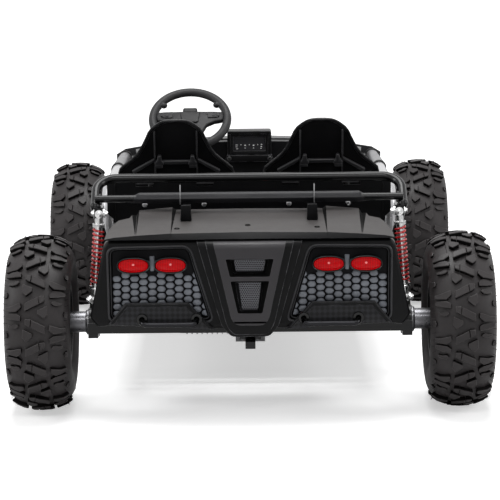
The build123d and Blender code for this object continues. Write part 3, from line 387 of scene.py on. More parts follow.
def wear_and_highlight_group():
    """Sharp edges, for rubbed wear and for painted highlight: a mask from the difference between the true normal and
    one rounded by a small bevel.
    """
    group, given, result = new_group("edge_wear_and_highlight", (("Width", "NodeSocketFloat", 0.002),
                                                   ("Break Up", "NodeSocketFloat", 60.0)),
                                     (("Mask", "NodeSocketFloat"),))
    bevel = add_node(group, "Bevel", {"Radius": given.outputs["Width"]}, samples=4)
    dot = add_node(group, "VectorMath", {0: bevel.outputs["Normal"],
                                         1: add_node(group, "NewGeometry").outputs["Normal"]}, operation="DOT_PRODUCT")
    edge = add_node(group, "MapRange", {"Value": dot.outputs["Value"]}, {"From Min": 0.995, "From Max": 0.88})
    broken = add_node(group, "TexNoise", {"Vector": add_node(group, "TexCoord").outputs["Object"],
                                          "Scale": given.outputs["Break Up"]}, {"Detail": 4.0})
    ragged = add_node(group, "MapRange", {"Value": broken.outputs["Fac"]}, {"From Min": 0.38, "From Max": 0.62})
    product = add_node(group, "Math", {0: edge.outputs[0], 1: ragged.outputs[0]}, operation="MULTIPLY")
    wire(result, {"Mask": product.outputs[0]})
    return group


grain = grain_group()
wear_and_highlight = wear_and_highlight_group()


def mixed(tree, factor, first, second):
    """Two colours mixed; the first is a fixed colour or another node's output."""
    fixed = isinstance(first, tuple)
    return add_node(tree, "Mix", {"Factor": factor} if fixed else {"Factor": factor, 6: first},
                    {6: first, 7: second} if fixed else {7: second}, data_type="RGBA").outputs[2]


def finish(name, colour, rough, metallic=0.0, grain_size=900.0, bump=0.15, cloud=0.12, wear_and_highlight_tone=None, edge_band_width=0.002,
           coat=0.0, rough_spread=0.08, specular=0.5, soften=0.0):
    """A surface with its own grain, cloudy tone, uneven gloss, and edges lightened as wear and as painted highlight."""
    material, tree, shader = new_material(name)
    skin = add_node(tree, "Group", None, {"Grain Size": grain_size}, node_tree=grain)
    result = mixed(tree, skin.outputs["Cloud"], tuple(c * (1.0 - cloud) for c in colour) + (1.0,),
                   tuple(min(1.0, c * (1.0 + cloud)) for c in colour) + (1.0,))
    # The edge colour stands for rubbed wear and also for painted highlight along sharp edges.
    if wear_and_highlight_tone is not None:
        edge_band_mask = add_node(tree, "Group", None, {"Width": edge_band_width}, node_tree=wear_and_highlight)
        result = mixed(tree, edge_band_mask.outputs["Mask"], result, tuple(wear_and_highlight_tone) + (1.0,))
    gloss = add_node(tree, "MapRange", {"Value": skin.outputs["Cloud"]},
                     {"From Min": 0.3, "From Max": 0.7, "To Min": max(0.02, rough - rough_spread),
                      "To Max": min(1.0, rough + rough_spread)})
    relief = add_node(tree, "Bump", {"Height": skin.outputs["Height"]}, {"Strength": bump, "Distance": 0.0004})
    if soften:
        round_edge = add_node(tree, "Bevel", None, {"Radius": soften}, samples=6)
        wire(relief, {"Normal": round_edge.outputs["Normal"]})
    wire(shader, {"Base Color": result, "Roughness": gloss.outputs[0], "Normal": relief.outputs["Normal"]},
         {"Metallic": metallic, "Coat Weight": coat, "Specular IOR Level": specular})
    return material


def dress(item, *materials):
    item.data.materials.clear()
    for material in materials:
        item.data.materials.append(material)


def dress_solids(material, *nodes):
    """The same finish for several of the kart's solids that show as they are."""
    for node in nodes:
        dress(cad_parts[node], material)


rubber = finish("tread_rubber", (0.0250, 0.0220, 0.0225), 0.50, grain_size=520.0, bump=0.30, cloud=0.40,
                wear_and_highlight_tone=(0.080, 0.073, 0.072), edge_band_width=0.0011, rough_spread=0.12, specular=0.26)
# A near-black rubber for the lug walls: painted shade.
lug_wall_painted_shade = finish("lug_wall_painted_shade", (0.0030, 0.0026, 0.0026), 0.75, grain_size=520.0, bump=0.25, cloud=0.30,
                       specular=0.06)
dress(tyre, rubber, lug_wall_painted_shade)
# The walls of the tread blocks get a near-black rubber, painted shade for the shade that falls on them.
for face in tyre.data.polygons:
    reach = sqrt(face.center.y ** 2 + face.center.z ** 2)
    outward = Vector((-casing_slope(face.center.x), face.center.y / reach, face.center.z / reach)).normalized()
    if face.normal.dot(outward) < 0.60 and abs(face.center.x) < 0.062 and reach > 0.145:
        face.material_index = 1
wheels = (("front_left", (-wheel_offset, front_axle_y, axle_height), "front_wheel_left", 0.3, "tyre_front_left"),
          ("front_right", (wheel_offset, front_axle_y, axle_height), "front_wheel_right", 1.1, "tyre_front_right"),
          ("rear_left", (-wheel_offset, rear_axle_y, axle_height), "rear_axle", 0.12, "rear_tyres"),
          ("rear_right", (wheel_offset, rear_axle_y, axle_height), "rear_axle", 0.55, "rear_tyres"))
for name, place, body, start, node in wheels:
    new = moved_copy(tyre, "tyre_" + name + "_casing", place, Matrix.Rotation(start, 4, "X"))
    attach(new, body)
    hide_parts(node)
bpy.data.objects.remove(tyre)


# Rims. Pressed steel rims in satin black with a welded centre, each held by four flanged nuts, with a rubber valve in
# its barrel and a plastic dust cap pushed over the axle's nut.
rim_paint = finish("rim_paint", (0.012, 0.012, 0.0125), 0.34, grain_size=1400.0, bump=0.06, cloud=0.10, specular=0.3,
                   wear_and_highlight_tone=(0.16, 0.16, 0.165), edge_band_width=0.0012, coat=0.2)
nut_metal = finish("nut_metal", (0.52, 0.52, 0.53), 0.32, metallic=1.0, grain_size=1600.0, bump=0.05, cloud=0.10,
                   wear_and_highlight_tone=(0.75, 0.75, 0.76), edge_band_width=0.0008)
cap_plastic = finish("cap_plastic", (0.018, 0.018, 0.019), 0.45, grain_size=1500.0, bump=0.10, wear_and_highlight_tone=(0.07, 0.07, 0.07))
dress_solids(rim_paint, "rear_rims", "rim_front_left", "rim_front_right")


def settle_on(item, body, slot, *materials, smooth=30):
    """Finish and body for a new piece, shaded smooth; the slot argument is not used."""
    dress(item, *materials)
    take(item)
    bpy.ops.object.shade_smooth_by_angle(angle=radians(smooth))
    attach(item, body)
    return item


def bevelled(item, width, segments=2, limit=30.0):
    """Round the edges that turn by more than this many degrees."""
    edge = item.modifiers.new("edge", "BEVEL")
    edge.width = width
    edge.segments = segments
    edge.angle_limit = radians(limit)
    apply_all(item)
    return item


def facing_out(side):
    """Turns a piece that was made for the right-hand side towards its own side."""
    return Matrix.Identity(4) if side > 0 else Matrix.Rotation(pi, 4, "Z")


def hex_nut(name, across_corners, thick, flange):
    """A nut along +X with a chamfered top and a round flange under it."""
    deselect()
    bpy.ops.mesh.primitive_cylinder_add(vertices=6, radius=across_corners / 2, depth=thick)
    nut = bpy.context.object
    nut.name = name
    settle(nut)
    nut.data.transform(Matrix.Translation((0, 0, thick / 2)))
    bpy.ops.mesh.primitive_cylinder_add(vertices=24, radius=flange, depth=thick * 0.25)
    skirt = bpy.context.object
    skirt.data.transform(Matrix.Translation((0, 0, thick * 0.125)))
    bpy.ops.mesh.primitive_cylinder_add(vertices=20, radius=across_corners * 0.28, depth=thick * 0.4)
    stud = bpy.context.object
    stud.data.transform(Matrix.Translation((0, 0, thick * 1.1)))
    for item in (skirt, stud):
        item.location = (0, 0, 0)
    nut = bevelled(joined([nut, skirt, stud], name), thick * 0.08)
    nut.data.transform(Matrix.Rotation(pi / 2, 4, "Y"))
    return nut


wheel_nut = hex_nut("wheel_nut", 0.0150, 0.0080, 0.0085)
valve = spun(((0.0, 0.0), (0.0, 0.0045), (0.004, 0.0050), (0.010, 0.0034), (0.018, 0.0030), (0.019, 0.0036),
              (0.026, 0.0036), (0.028, 0.0022), (0.028, 0.0)), "valve", 14)
dust_cap = spun(((0.0, 0.0), (0.0, 0.0225), (0.012, 0.0215), (0.018, 0.0185), (0.0205, 0.0120), (0.0210, 0.0)),
                "dust_cap", 36)
nut_circle = 0.047
for name, (x, y, z), body, start, node in wheels:
    side = 1 if x > 0 else -1
    label = "wheel_" + name
    face = facing_out(side)
    nuts = []
    for n in range(4):
        angle = n * pi / 2
        spot = Matrix.Translation((x + side * 0.0193, y + nut_circle * sin(angle), z + nut_circle * cos(angle)))
        nuts.append(moved_copy(wheel_nut, label, turn=spot @ face))
    tilted = Matrix.Rotation(pi * 0.86 if side > 0 else pi * 0.14, 4, "Y")
    stem_place = (Matrix.Translation((x + side * 0.040, y, z)) @ Matrix.Rotation(start, 4, "X")
                  @ Matrix.Translation((0, 0, 0.0715)) @ tilted)
    cap_place = Matrix.Translation((x + side * 0.0245, y, z)) @ face
    settle_on(joined(nuts, label + "_nuts"), body, "rim", nut_metal)
    settle_on(moved_copy(valve, label + "_valve", turn=stem_place), body, "rim", rubber)
    settle_on(moved_copy(dust_cap, label + "_cap", turn=cap_place), body, "rim", cap_plastic)
for pattern in (wheel_nut, valve, dust_cap):
    bpy.data.objects.remove(pattern)


# Axle line. The live axle is ground steel, and a tube on each side of the gearbox covers it. A pressed flange closes
# each tube's outer end, held by three small nuts.
axle_steel = finish("axle_steel", (0.17, 0.17, 0.18), 0.30, metallic=1.0, grain_size=2200.0, bump=0.05, cloud=0.14,
                    rough_spread=0.10)
flange_steel = finish("flange_steel", (0.20, 0.20, 0.21), 0.36, metallic=1.0, grain_size=1500.0, bump=0.06,
                      cloud=0.16, wear_and_highlight_tone=(0.7, 0.7, 0.7), edge_band_width=0.0008)
dress_solids(axle_steel, "axle_tubes", "axle_shaft")


def mirrored(item, name):
    """The piece and its mirror image across the centre plane, as one mesh."""
    twin = moved_copy(item, name, turn=Matrix.Scale(-1.0, 4, (1, 0, 0)))
    return joined([item, twin], name)


def fit(parts, name, slot, *materials, smooth=30):
    """Join new parts that stay with the chassis into one piece, with its finish; the slot argument is not used."""
    return settle_on(joined(parts, name), "chassis", slot, *materials, smooth=smooth)


def ring_of(pattern, count, radius, name, centre, facing, phase=0.0):
    """Copies of a fastener that points along +X, set evenly round a circle and turned to face a direction."""
    made = []
    for n in range(count):
        angle = phase + n * 2 * pi / count
        place = Matrix.Translation(centre) @ facing @ Matrix.Translation((0, radius * cos(angle), radius * sin(angle)))
        made.append(moved_copy(pattern, name, turn=place))
    return joined(made, name)


small_nut = hex_nut("small_nut", 0.0064, 0.0032, 0.0040)
bearing_parts = []
for side in (1, -1):
    facing = facing_out(side)
    flange = spun(((0.0, 0.0222), (0.0, 0.0262), (0.0008, 0.0270), (0.0024, 0.0270), (0.0032, 0.0250),
                   (0.0060, 0.0243), (0.0068, 0.0222)), "bearing_flange", 48)
    centre = (side * 0.3288, rear_axle_y, axle_height)
    bearing_parts.append(moved_copy(flange, "bearing_flange", turn=Matrix.Translation(centre) @ facing))
    bpy.data.objects.remove(flange)
    bearing_parts.append(ring_of(small_nut, 3, 0.0238, "flange_nuts",
                                 (centre[0] + side * 0.0022, centre[1], centre[2]), facing, 0.5))
bpy.data.objects.remove(small_nut)
fit(bearing_parts, "axle_bearing_flanges", "bright_steel", flange_steel)


# Gearbox, motor and battery. A cast gearbox sits round the axle with a finned motor flanged to it, and a plain
# battery box stands on its tray above them under a rubber strap, with two leads that run down to the motor.
cast_metal = finish("cast_metal", (0.30, 0.30, 0.31), 0.42, metallic=0.9, grain_size=700.0, bump=0.30, cloud=0.18,
                    wear_and_highlight_tone=(0.55, 0.55, 0.56), edge_band_width=0.0015)
battery_case = finish("battery_case", (0.012, 0.012, 0.013), 0.40, grain_size=1200.0,
                      bump=0.08, wear_and_highlight_tone=(0.06, 0.06, 0.06), specular=0.25)
strap_rubber = finish("strap_rubber", (0.010, 0.010, 0.010), 0.60, grain_size=900.0, bump=0.25, specular=0.25)
lead_red = finish("lead_red", (0.45, 0.012, 0.012), 0.38, grain_size=1500.0, bump=0.05)
dress_solids(cast_metal, "drive_motor")
dress_solids(battery_case, "battery_pack")
fin = spun(((0.0, 0.0436), (0.0, 0.0460), (0.0022, 0.0460), (0.0022, 0.0436)), "fin", 56)
fins = copies_at(fin, "fin", [(-0.1330 + n * 0.0105, rear_axle_y + 0.092, axle_height) for n in range(9)])
fit(fins, "motor_cooling_fins", "cast_alloy", cast_metal)


def rounded(points, bend):
    """A line's points with every inner corner drawn as an arc of about this radius."""
    points = [Vector(p) for p in points]
    line = [points[0]]
    for before, corner, after in zip(points, points[1:], points[2:]):
        to_before, to_after = (before - corner), (after - corner)
        reach = min(bend, to_before.length * 0.48, to_after.length * 0.48)
        start = corner + to_before.normalized() * reach
        end = corner + to_after.normalized() * reach
        for n in range(7):
            t = n / 6
            line.append(start * (1 - t) ** 2 + corner * 2 * t * (1 - t) + end * t * t)
    line.append(points[-1])
    return line


def pipe(name, points, radius, bend=0.0, sides=12, closed=False):
    """A round bar or lead along a line, its corners rounded."""
    line = rounded(points, bend) if bend else [Vector(p) for p in points]
    path = bpy.data.curves.new(name, "CURVE")
    path.dimensions = "3D"
    strand = path.splines.new("POLY")
    strand.points.add(len(line) - 1)
    for point, spot in zip(strand.points, line):
        point.co = (*spot, 1.0)
    strand.use_cyclic_u = closed
    path.bevel_depth = radius
    path.bevel_resolution = max(0, sides // 4 - 1)
    path.use_fill_caps = not closed
    item = bpy.data.objects.new(name, path)
    scene.collection.objects.link(item)
    take(item)
    bpy.ops.object.convert(target="MESH")
    return bpy.context.object


def ball(name, spot, size, flatten=(1, 1, 1), segments=20):
    deselect()
    bpy.ops.mesh.primitive_uv_sphere_add(segments=segments, ring_count=segments // 2, radius=size, location=spot)
    item = bpy.context.object
    item.name = name
    item.scale = flatten
    settle(item)
    return item


def slab(name, outline, start, end, edge=0.0015, steps=3, limit=30.0):
    """An outline of (x, z) in millimetres, drawn as a solid between two places along Y, its edges rounded."""
    deselect()
    bpy.ops.mesh.primitive_circle_add(vertices=len(outline), radius=0.01, fill_type="NGON")
    item = bpy.context.object
    item.name = name
    for vertex, (x, z) in zip(item.data.vertices, outline):
        vertex.co = (x / 1000.0, start, z / 1000.0)
    whole_mesh(item, bpy.ops.mesh.extrude_region_move, TRANSFORM_OT_translate={"value": (0, end - start, 0)})
    whole_mesh(item, bpy.ops.mesh.normals_make_consistent, inside=False)
    return bevelled(item, edge, steps, limit) if edge else item


def cuboid(name, low, high, edge=0.0015, steps=3):
    """A box between two corners with rounded edges."""
    outline = [(low[0] * 1000, low[2] * 1000), (high[0] * 1000, low[2] * 1000), (high[0] * 1000, high[2] * 1000),
               (low[0] * 1000, high[2] * 1000)]
    return slab(name, outline, low[1], high[1], edge, steps)


def cut(item, cutter):
    """Take one solid out of another."""
    knife = item.modifiers.new("cut", "BOOLEAN")
    knife.operation = "DIFFERENCE"
    knife.solver = "EXACT"
    knife.object = cutter
    apply_all(item)
    bpy.data.objects.remove(cutter)
    return item


battery_low = (-0.148, -0.664, 0.2396)
battery_high = (0.148, -0.494, 0.3356)
straps = [cuboid("strap", (x - 0.011, battery_low[1] - 0.002, battery_low[2] - 0.001),
                 (x + 0.011, battery_high[1] + 0.002, battery_high[2] + 0.002), 0.0012, 2) for x in (-0.090, 0.090)]
fit(straps, "battery_straps", "soft_black", strap_rubber)
posts = []
for x in (-0.035, 0.035):
    deselect()
    bpy.ops.mesh.primitive_cylinder_add(vertices=20, radius=0.007, depth=0.010, location=(x, -0.520, 0.3406))
    settle(bpy.context.object)
    posts.append(bpy.context.object)
fit(posts, "battery_terminals", "bright_steel", flange_steel)
for name, x, foot_x, slot, material in (("battery_lead_red", 0.035, 0.028, "red_lens", lead_red),
                                        ("battery_lead_black", -0.035, -0.028, "soft_black", strap_rubber)):
    lead = pipe(name, ((x, -0.520, 0.3430), (x, -0.480, 0.3430), (x, -0.476, 0.2300), (foot_x, -0.478, 0.2160)),
                0.0030, 0.012)
    settle_on(lead, "chassis", slot, material)


# Frame. Round steel tubes bent, mitred and welded, then powder coated in a semi-gloss black that shows long highlights
# along the rear hoop. The swing arm and the front wishbones are made and finished in the same way.
powder_coat = finish("powder_coat", (0.0040, 0.0040, 0.0046), 0.14, grain_size=620.0, bump=0.03, cloud=0.10,
                     wear_and_highlight_tone=(0.07, 0.07, 0.07), edge_band_width=0.0008, rough_spread=0.04, specular=0.26)
dress_solids(powder_coat, "tube_frame", "swing_arm", "front_lower_arms", "front_upper_arms",
             "knuckle_left", "knuckle_right", "front_bumper", "battery_tray", "tow_hitch", "steering_column")
weld_bead = finish("weld_bead", (0.016, 0.016, 0.017), 0.36, grain_size=420.0, bump=0.7, cloud=0.15)


def bead(centre, normal, radius):
    """A weld ring round a tube's foot."""
    deselect()
    bpy.ops.mesh.primitive_torus_add(major_radius=radius, minor_radius=0.0022, major_segments=28, minor_segments=8)
    ring = bpy.context.object
    turn = Vector((0, 0, 1)).rotation_difference(Vector(normal)).to_matrix().to_4x4()
    ring.data.transform(Matrix.Translation(centre) @ turn)
    ring.location = (0, 0, 0)
    ring.rotation_euler = (0, 0, 0)
    return ring


rail_height = 0.150
bead_places = (((0.3050, -0.5470, 0.4265), (1, 0, 0), 0.0082), ((0.1700, -0.6900, 0.2360), (0, 0, 1), 0.0085),
               ((0.1700, -0.5540, 0.2360), (0, 0, 1), 0.0085), ((0.2050, -0.3860, rail_height), (0, 1, 0), 0.0088),
               ((0.2620, 0.2920, rail_height + 0.0125), (0, 0.5, 0.85), 0.0110),
               ((0.2830, -0.3020, rail_height), (1, 0, 0), 0.0118),
               ((0.1285, 0.526, rail_height + 0.0125), (0, 0, 1), 0.0086),
               ((0.1285, 0.640, rail_height + 0.0125), (0, 0, 1), 0.0086))
beads = [bead((side * x, y, z), normal, radius) for side in (1, -1) for (x, y, z), normal, radius in bead_places]
fit(beads, "weld_beads", "frame", weld_bead)


# Floor pan. A dark aluminium tread plate lies on the rails, pressed with short raised bars set crosswise in turn, and
# is held down by flat screws along both sides.
def tread_plate():
    material, tree, shader = new_material("tread_plate")
    spot = add_node(tree, "TexCoord").outputs["Object"]
    heights = {}
    for n, (turn, shift) in enumerate(((45.0, 0.0), (-45.0, 0.5))):
        place = add_node(tree, "Mapping", {"Vector": spot},
                         {"Scale": (34.0, 34.0, 34.0), "Location": (shift, shift, 0.0)})
        cell = add_node(tree, "VectorMath", {0: place.outputs[0]}, operation="FRACTION")
        centred = add_node(tree, "VectorMath", {0: cell.outputs[0]}, {1: (0.5, 0.5, 0.0)}, operation="SUBTRACT")
        bar = add_node(tree, "Mapping", {"Vector": centred.outputs[0]},
                       {"Rotation": (0.0, 0.0, radians(turn)), "Scale": (0.38, 0.09, 1.0)}, vector_type="TEXTURE")
        flat = add_node(tree, "VectorMath", {0: bar.outputs[0]}, {1: (1.0, 1.0, 0.0)}, operation="MULTIPLY")
        size = add_node(tree, "VectorMath", {0: flat.outputs[0]}, operation="LENGTH")
        dome = add_node(tree, "MapRange", {"Value": size.outputs["Value"]}, {"From Min": 1.05, "From Max": 0.75})
        heights[n] = dome.outputs[0]
    both = add_node(tree, "Math", heights, operation="MAXIMUM").outputs[0]
    relief = add_node(tree, "Bump", {"Height": both}, {"Distance": 0.0015, "Strength": 0.9})
    tone = mixed(tree, both, (0.030, 0.030, 0.031, 1.0), (0.090, 0.090, 0.092, 1.0))
    wire(shader, {"Normal": relief.outputs["Normal"], "Base Color": tone}, {"Metallic": 0.7, "Roughness": 0.42})
    return material


dress(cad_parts["floor_pan"], tread_plate())


def screw_head(name, radius, height):
    """A low domed screw head along +Z with a six-sided socket."""
    return spun(((0.0, radius), (height * 0.35, radius), (height * 0.8, radius * 0.82), (height, radius * 0.5),
                 (height, radius * 0.42), (height * 0.45, radius * 0.42), (height * 0.45, 0.0)), name, 18, "Z")


dome_screw = screw_head("dome_screw", 0.0055, 0.0030)
screw_metal = finish("screw_metal", (0.40, 0.40, 0.41), 0.30, metallic=1.0, grain_size=1800.0, bump=0.04, cloud=0.12)
black_screw = finish("black_screw", (0.020, 0.020, 0.021), 0.30, grain_size=1800.0, bump=0.05,
                     wear_and_highlight_tone=(0.12, 0.12, 0.12), edge_band_width=0.0006)
pan_screws = [moved_copy(dome_screw, "pan_screws", (side * 0.256, y, 0.1655))
              for side in (1, -1) for y in (-0.330, -0.180, -0.030, 0.120, 0.255)]
fit(pan_screws, "floor_pan_screws", "bright_steel", screw_metal)


# Seats. Two one-piece moulded buckets in black plastic. The back is a bell shape with a thin rolled edge, two upright
# ribs and a raised cross ridge with its knobs on the rear face, and the cushion has side bolsters round a dished pan.
seat_plastic = finish("seat_plastic", (0.0055, 0.0055, 0.0060), 0.36, grain_size=1300.0, bump=0.10, cloud=0.14,
                      wear_and_highlight_tone=(0.110, 0.110, 0.115), edge_band_width=0.0012, specular=0.08)
bell = ((13, 557.4), (25, 556.3), (33, 553.6), (42, 548.4), (53.5, 539.5), (60, 530.5), (65.8, 517.5), (71.5, 506),
        (78.8, 492.5), (87.5, 480.5), (99, 470), (112.5, 459.5), (123, 450), (126, 440), (126, 300), (122, 190),
        (118, 168))
seat_foot = (-0.176, 0.166)
lean = Matrix.Translation((0, seat_foot[0], seat_foot[1])) @ Matrix.Rotation(radians(16.0), 4, "X")
stretch = 1.0 / cos(radians(16.0))


def skin_between(rings, name):
    """Loops of equal count, each a list of (x, y, z) in metres, bridged one to the next, the last one filled."""
    deselect()
    bpy.ops.mesh.primitive_circle_add(vertices=len(rings[0]), radius=0.01, fill_type="NOTHING")
    item = bpy.context.object
    item.name = name
    for vertex, spot in zip(item.data.vertices, rings[0]):
        vertex.co = spot
    for ring in rings[1:]:
        bpy.ops.object.mode_set(mode="EDIT")
        bpy.ops.mesh.extrude_region_move(TRANSFORM_OT_translate={"value": (0, 0, 0)})
        bpy.ops.object.mode_set(mode="OBJECT")
        picked = [vertex for vertex in item.data.vertices if vertex.select]
        for vertex, spot in zip(picked, ring):
            vertex.co = spot
    bpy.ops.object.mode_set(mode="EDIT")
    bpy.ops.mesh.edge_face_add()
    bpy.ops.object.mode_set(mode="OBJECT")
    whole_mesh(item, bpy.ops.mesh.normals_make_consistent, inside=False)
    return item


def shut(item):
    """Fill this skin's open ends and turn all its faces outward."""
    take(item)
    bpy.ops.object.mode_set(mode="EDIT")
    bpy.ops.mesh.select_all(action="DESELECT")
    bpy.ops.mesh.select_non_manifold()
    bpy.ops.mesh.edge_face_add()
    bpy.ops.object.mode_set(mode="OBJECT")
    whole_mesh(item, bpy.ops.mesh.normals_make_consistent, inside=False)
    return item


def up_back(z):
    """Height along the leaning back of a height above the floor, in millimetres."""
    return (z - seat_foot[1] * 1000) * stretch


def seat_ring(shrink, y):
    """The seat back's outline at this depth, drawn in more over the shoulders than beside the cushion."""
    points = []
    for x, z in bell:
        share = min(1.0, max(0.35, (z - 300.0) / 165.0))
        points.append((max(x - shrink * share, 1.5), up_back(z) - (shrink if z > 440 else 0.0)))
    loop = [(-x, z) for x, z in reversed(points)] + points
    return [(x / 1000, y, z / 1000) for x, z in loop]


seat_section = ((6.0, 0.0040), (5.0, 0.0012), (3.0, -0.0002), (1.2, 0.0004), (0.0, 0.0024), (1.0, 0.0080),
                (5.0, 0.0200), (12.0, 0.0330), (21.0, 0.0450), (23.5, 0.0480), (26.0, 0.0465), (17.0, 0.0300),
                (11.0, 0.0130))
back = shut(skin_between([seat_ring(shrink, y) for shrink, y in seat_section], "seat_shell"))
details = []
for side in (1, -1):
    details.append(cuboid("rib", (side * 0.0455 - 0.0017, -0.0040, up_back(432) / 1000),
                          (side * 0.0455 + 0.0017, 0.003, up_back(534) / 1000), 0.0011, 2))
    knob = slab("knob", [(side * (27 + a), up_back(z)) for a, z in ((0, 466), (4, 471), (5, 481), (12, 481), (14, 471),
                                                                    (18, 466), (18, 460), (0, 460))],
                -0.0095, 0.002, 0.0020, 3)
    details.append(knob)
    details.append(cuboid("clip", (side * 0.037 - 0.008, -0.0080, up_back(453) / 1000),
                          (side * 0.037 + 0.008, 0.002, up_back(460) / 1000), 0.0018, 3))
    details.append(slab("slant", [(side * a, up_back(z)) for a, z in ((47, 466), (47, 474), (96, 447), (92, 439))],
                        -0.0065, 0.002, 0.0022, 3))
details.append(slab("cross_ridge", [(-30, up_back(461)), (-30, up_back(470)), (30, up_back(470)), (30, up_back(461))],
                    -0.0075, 0.002, 0.0028, 3))
ridges = joined(details, "seat_ridges")
back.data.transform(lean)
ridges.data.transform(lean)
# The ribs, knobs and ridges get a lighter plastic than the shell: painted highlight for the light they catch from
# above.
ridge_painted_highlight = finish("ridge_painted_highlight", (0.018, 0.018, 0.0195), 0.38, grain_size=1300.0, bump=0.08, cloud=0.14,
                       wear_and_highlight_tone=(0.14, 0.14, 0.145), edge_band_width=0.0012, specular=0.34)
cushion = cuboid("cushion", (-0.126, -0.176, 0.1665), (0.126, 0.105, 0.248), 0.016, 5)
dish = cuboid("dish", (-0.100, -0.150, 0.2195), (0.100, 0.083, 0.300), 0.016, 5)
cushion = bevelled(cut(cushion, dish), 0.005, 3, 50)
for name, x in (("seat_left", -0.157), ("seat_right", 0.157)):
    seat = joined([moved_copy(back, name, (x, 0, 0)), moved_copy(cushion, name, (x, 0, 0))], name + "_bucket")
    settle_on(seat, "chassis", "seat", seat_plastic, smooth=35)
    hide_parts(name)
    settle_on(moved_copy(ridges, name + "_ridges", (x, 0, 0)), "chassis", "seat", ridge_painted_highlight, smooth=35)
for pattern in (back, cushion, ridges):
    bpy.data.objects.remove(pattern)


# Panel behind the seats. A flat black sheet on the frame's back posts, with four slots that have raised rims, and four
# bright screws below them. A folded bar with a chamfered top runs across in front of it, from one stay to the other.
panel_plastic = finish("panel_plastic", (0.0045, 0.0045, 0.0050), 0.42, grain_size=1200.0, bump=0.10, cloud=0.12,
                       wear_and_highlight_tone=(0.060, 0.060, 0.063), edge_band_width=0.0010, specular=0.07)
bar_plastic = finish("bar_plastic", (0.0105, 0.0105, 0.0125), 0.34, grain_size=1200.0, bump=0.08, cloud=0.12,
                     wear_and_highlight_tone=(0.13, 0.13, 0.135), edge_band_width=0.0009, specular=0.25)
dress_solids(panel_plastic, "seat_back_panel")
panel_face = -0.3906
rims = []
for x in (-0.2193, -0.0924, 0.0876, 0.2146):
    rim_ring = cuboid("slot_rim", (x - 0.0180, panel_face - 0.0024, 0.4340), (x + 0.0180, panel_face + 0.001, 0.4452),
                      0.0008, 2)
    hole = cuboid("slot_hole", (x - 0.0158, panel_face - 0.006, 0.4362), (x + 0.0158, panel_face - 0.0006, 0.4430),
                  0.0)
    rims.append(cut(rim_ring, hole))
slot_grey = finish("slot_grey", (0.030, 0.030, 0.032), 0.40, grain_size=1200.0, bump=0.08, cloud=0.12, specular=0.2,
                   wear_and_highlight_tone=(0.12, 0.12, 0.125), edge_band_width=0.0010)
fit(rims, "panel_slot_rims", "body_plastic", slot_grey)
panel_edges = [slab("panel_edge", [(side * 283, 455), (side * 300, 451), (side * 300, 372), (side * 283, 356)],
                    panel_face - 0.0012, panel_face + 0.0034, 0.0010, 2) for side in (1, -1)]
fit(panel_edges, "panel_edge_folds", "body_plastic", panel_plastic)
facing_back = Matrix.Rotation(pi / 2, 4, "X")
panel_screws = [moved_copy(dome_screw, "panel_screws", turn=Matrix.Translation((x, panel_face, 0.3897)) @ facing_back)
                for x in (-0.2207, -0.0950, 0.0845, 0.2096)]
fit(panel_screws, "panel_screws", "bright_steel", nut_metal)


bar_ends = (-250.0, -236.0, -225.0, 225.0, 236.0, 250.0)
bar_rings = []
for x in bar_ends:
    top = 438.4 if abs(x) < 230 else 432.6
    low = 418.0 if abs(x) < 240 else 420.0
    depth = -564.8 if abs(x) < 230 else -561.5
    section = ((-545.5, top), (-549.0, top), (depth + 6.0, top - 1.5), (depth, 428.0), (depth, 426.0),
               (depth + 4.5, low), (-549.0, low), (-545.5, low))
    bar_rings.append([(x / 1000, y / 1000, z / 1000) for y, z in section])
bar = bevelled(shut(skin_between(bar_rings, "crossbar_cover")), 0.0009, 2, 18)
settle_on(bar, "chassis", "soft_black", bar_plastic, smooth=25)
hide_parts("crossbar_sleeve")
pins = [cuboid("pin", (x - 0.0012, -0.5660, 0.4150), (x + 0.0012, -0.5620, 0.4560), 0.0008, 2)
        for x in (-0.1403, 0.1330)]
fit(pins, "crossbar_pins", "bright_steel", screw_metal)

# Deck posts. Two short black brackets that stand on the deck and hold the folded bar, each with a flat rest behind it.
post = slab("deck_post", [(118.5, 425.5), (136.5, 425.5), (138.5, 396.0), (133.5, 386.8), (121.0, 386.8),
                          (115.5, 396.0)],
            -0.6440, -0.6360, 0.0012, 2)
rest = cuboid("post_rest", (0.1185, -0.6365, 0.3985), (0.1345, -0.5650, 0.4170), 0.0012, 2)
posts_made = mirrored(joined([post, rest], "deck_post"), "deck_post_pair")
settle_on(posts_made, "chassis", "soft_black", panel_plastic)
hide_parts("deck_posts")


# Rear deck. A thin moulded cover over battery and motor, folded into flat facets towards each side, with a turned-down
# lip along its rear edge and three holes for its screws.
# Its edge colour is far lighter than the plastic: painted highlight along the edges of the fascia, the V steps and the
# console, with some rubbed wear.
body_plastic = finish("body_plastic", (0.0052, 0.0052, 0.0056), 0.34, grain_size=1250.0, bump=0.09, cloud=0.12,
                      wear_and_highlight_tone=(0.190, 0.190, 0.205), edge_band_width=0.0020, rough_spread=0.05, specular=0.11)
# The deck's top gets a lighter copy of the black plastic, painted light from above, and its lip a darker copy, painted
# shade.
deck_top_painted_light = finish("deck_top_painted_light", (0.0420, 0.0385, 0.0378), 0.46, grain_size=1250.0, bump=0.10, cloud=0.22,
                      wear_and_highlight_tone=(0.062, 0.060, 0.060), edge_band_width=0.0010, specular=0.30)
deck_lip_painted_shade = finish("deck_lip_painted_shade", (0.0034, 0.0034, 0.0040), 0.42, grain_size=1250.0,
                           bump=0.08, cloud=0.14, wear_and_highlight_tone=(0.050, 0.050, 0.054), edge_band_width=0.0010, specular=0.10)
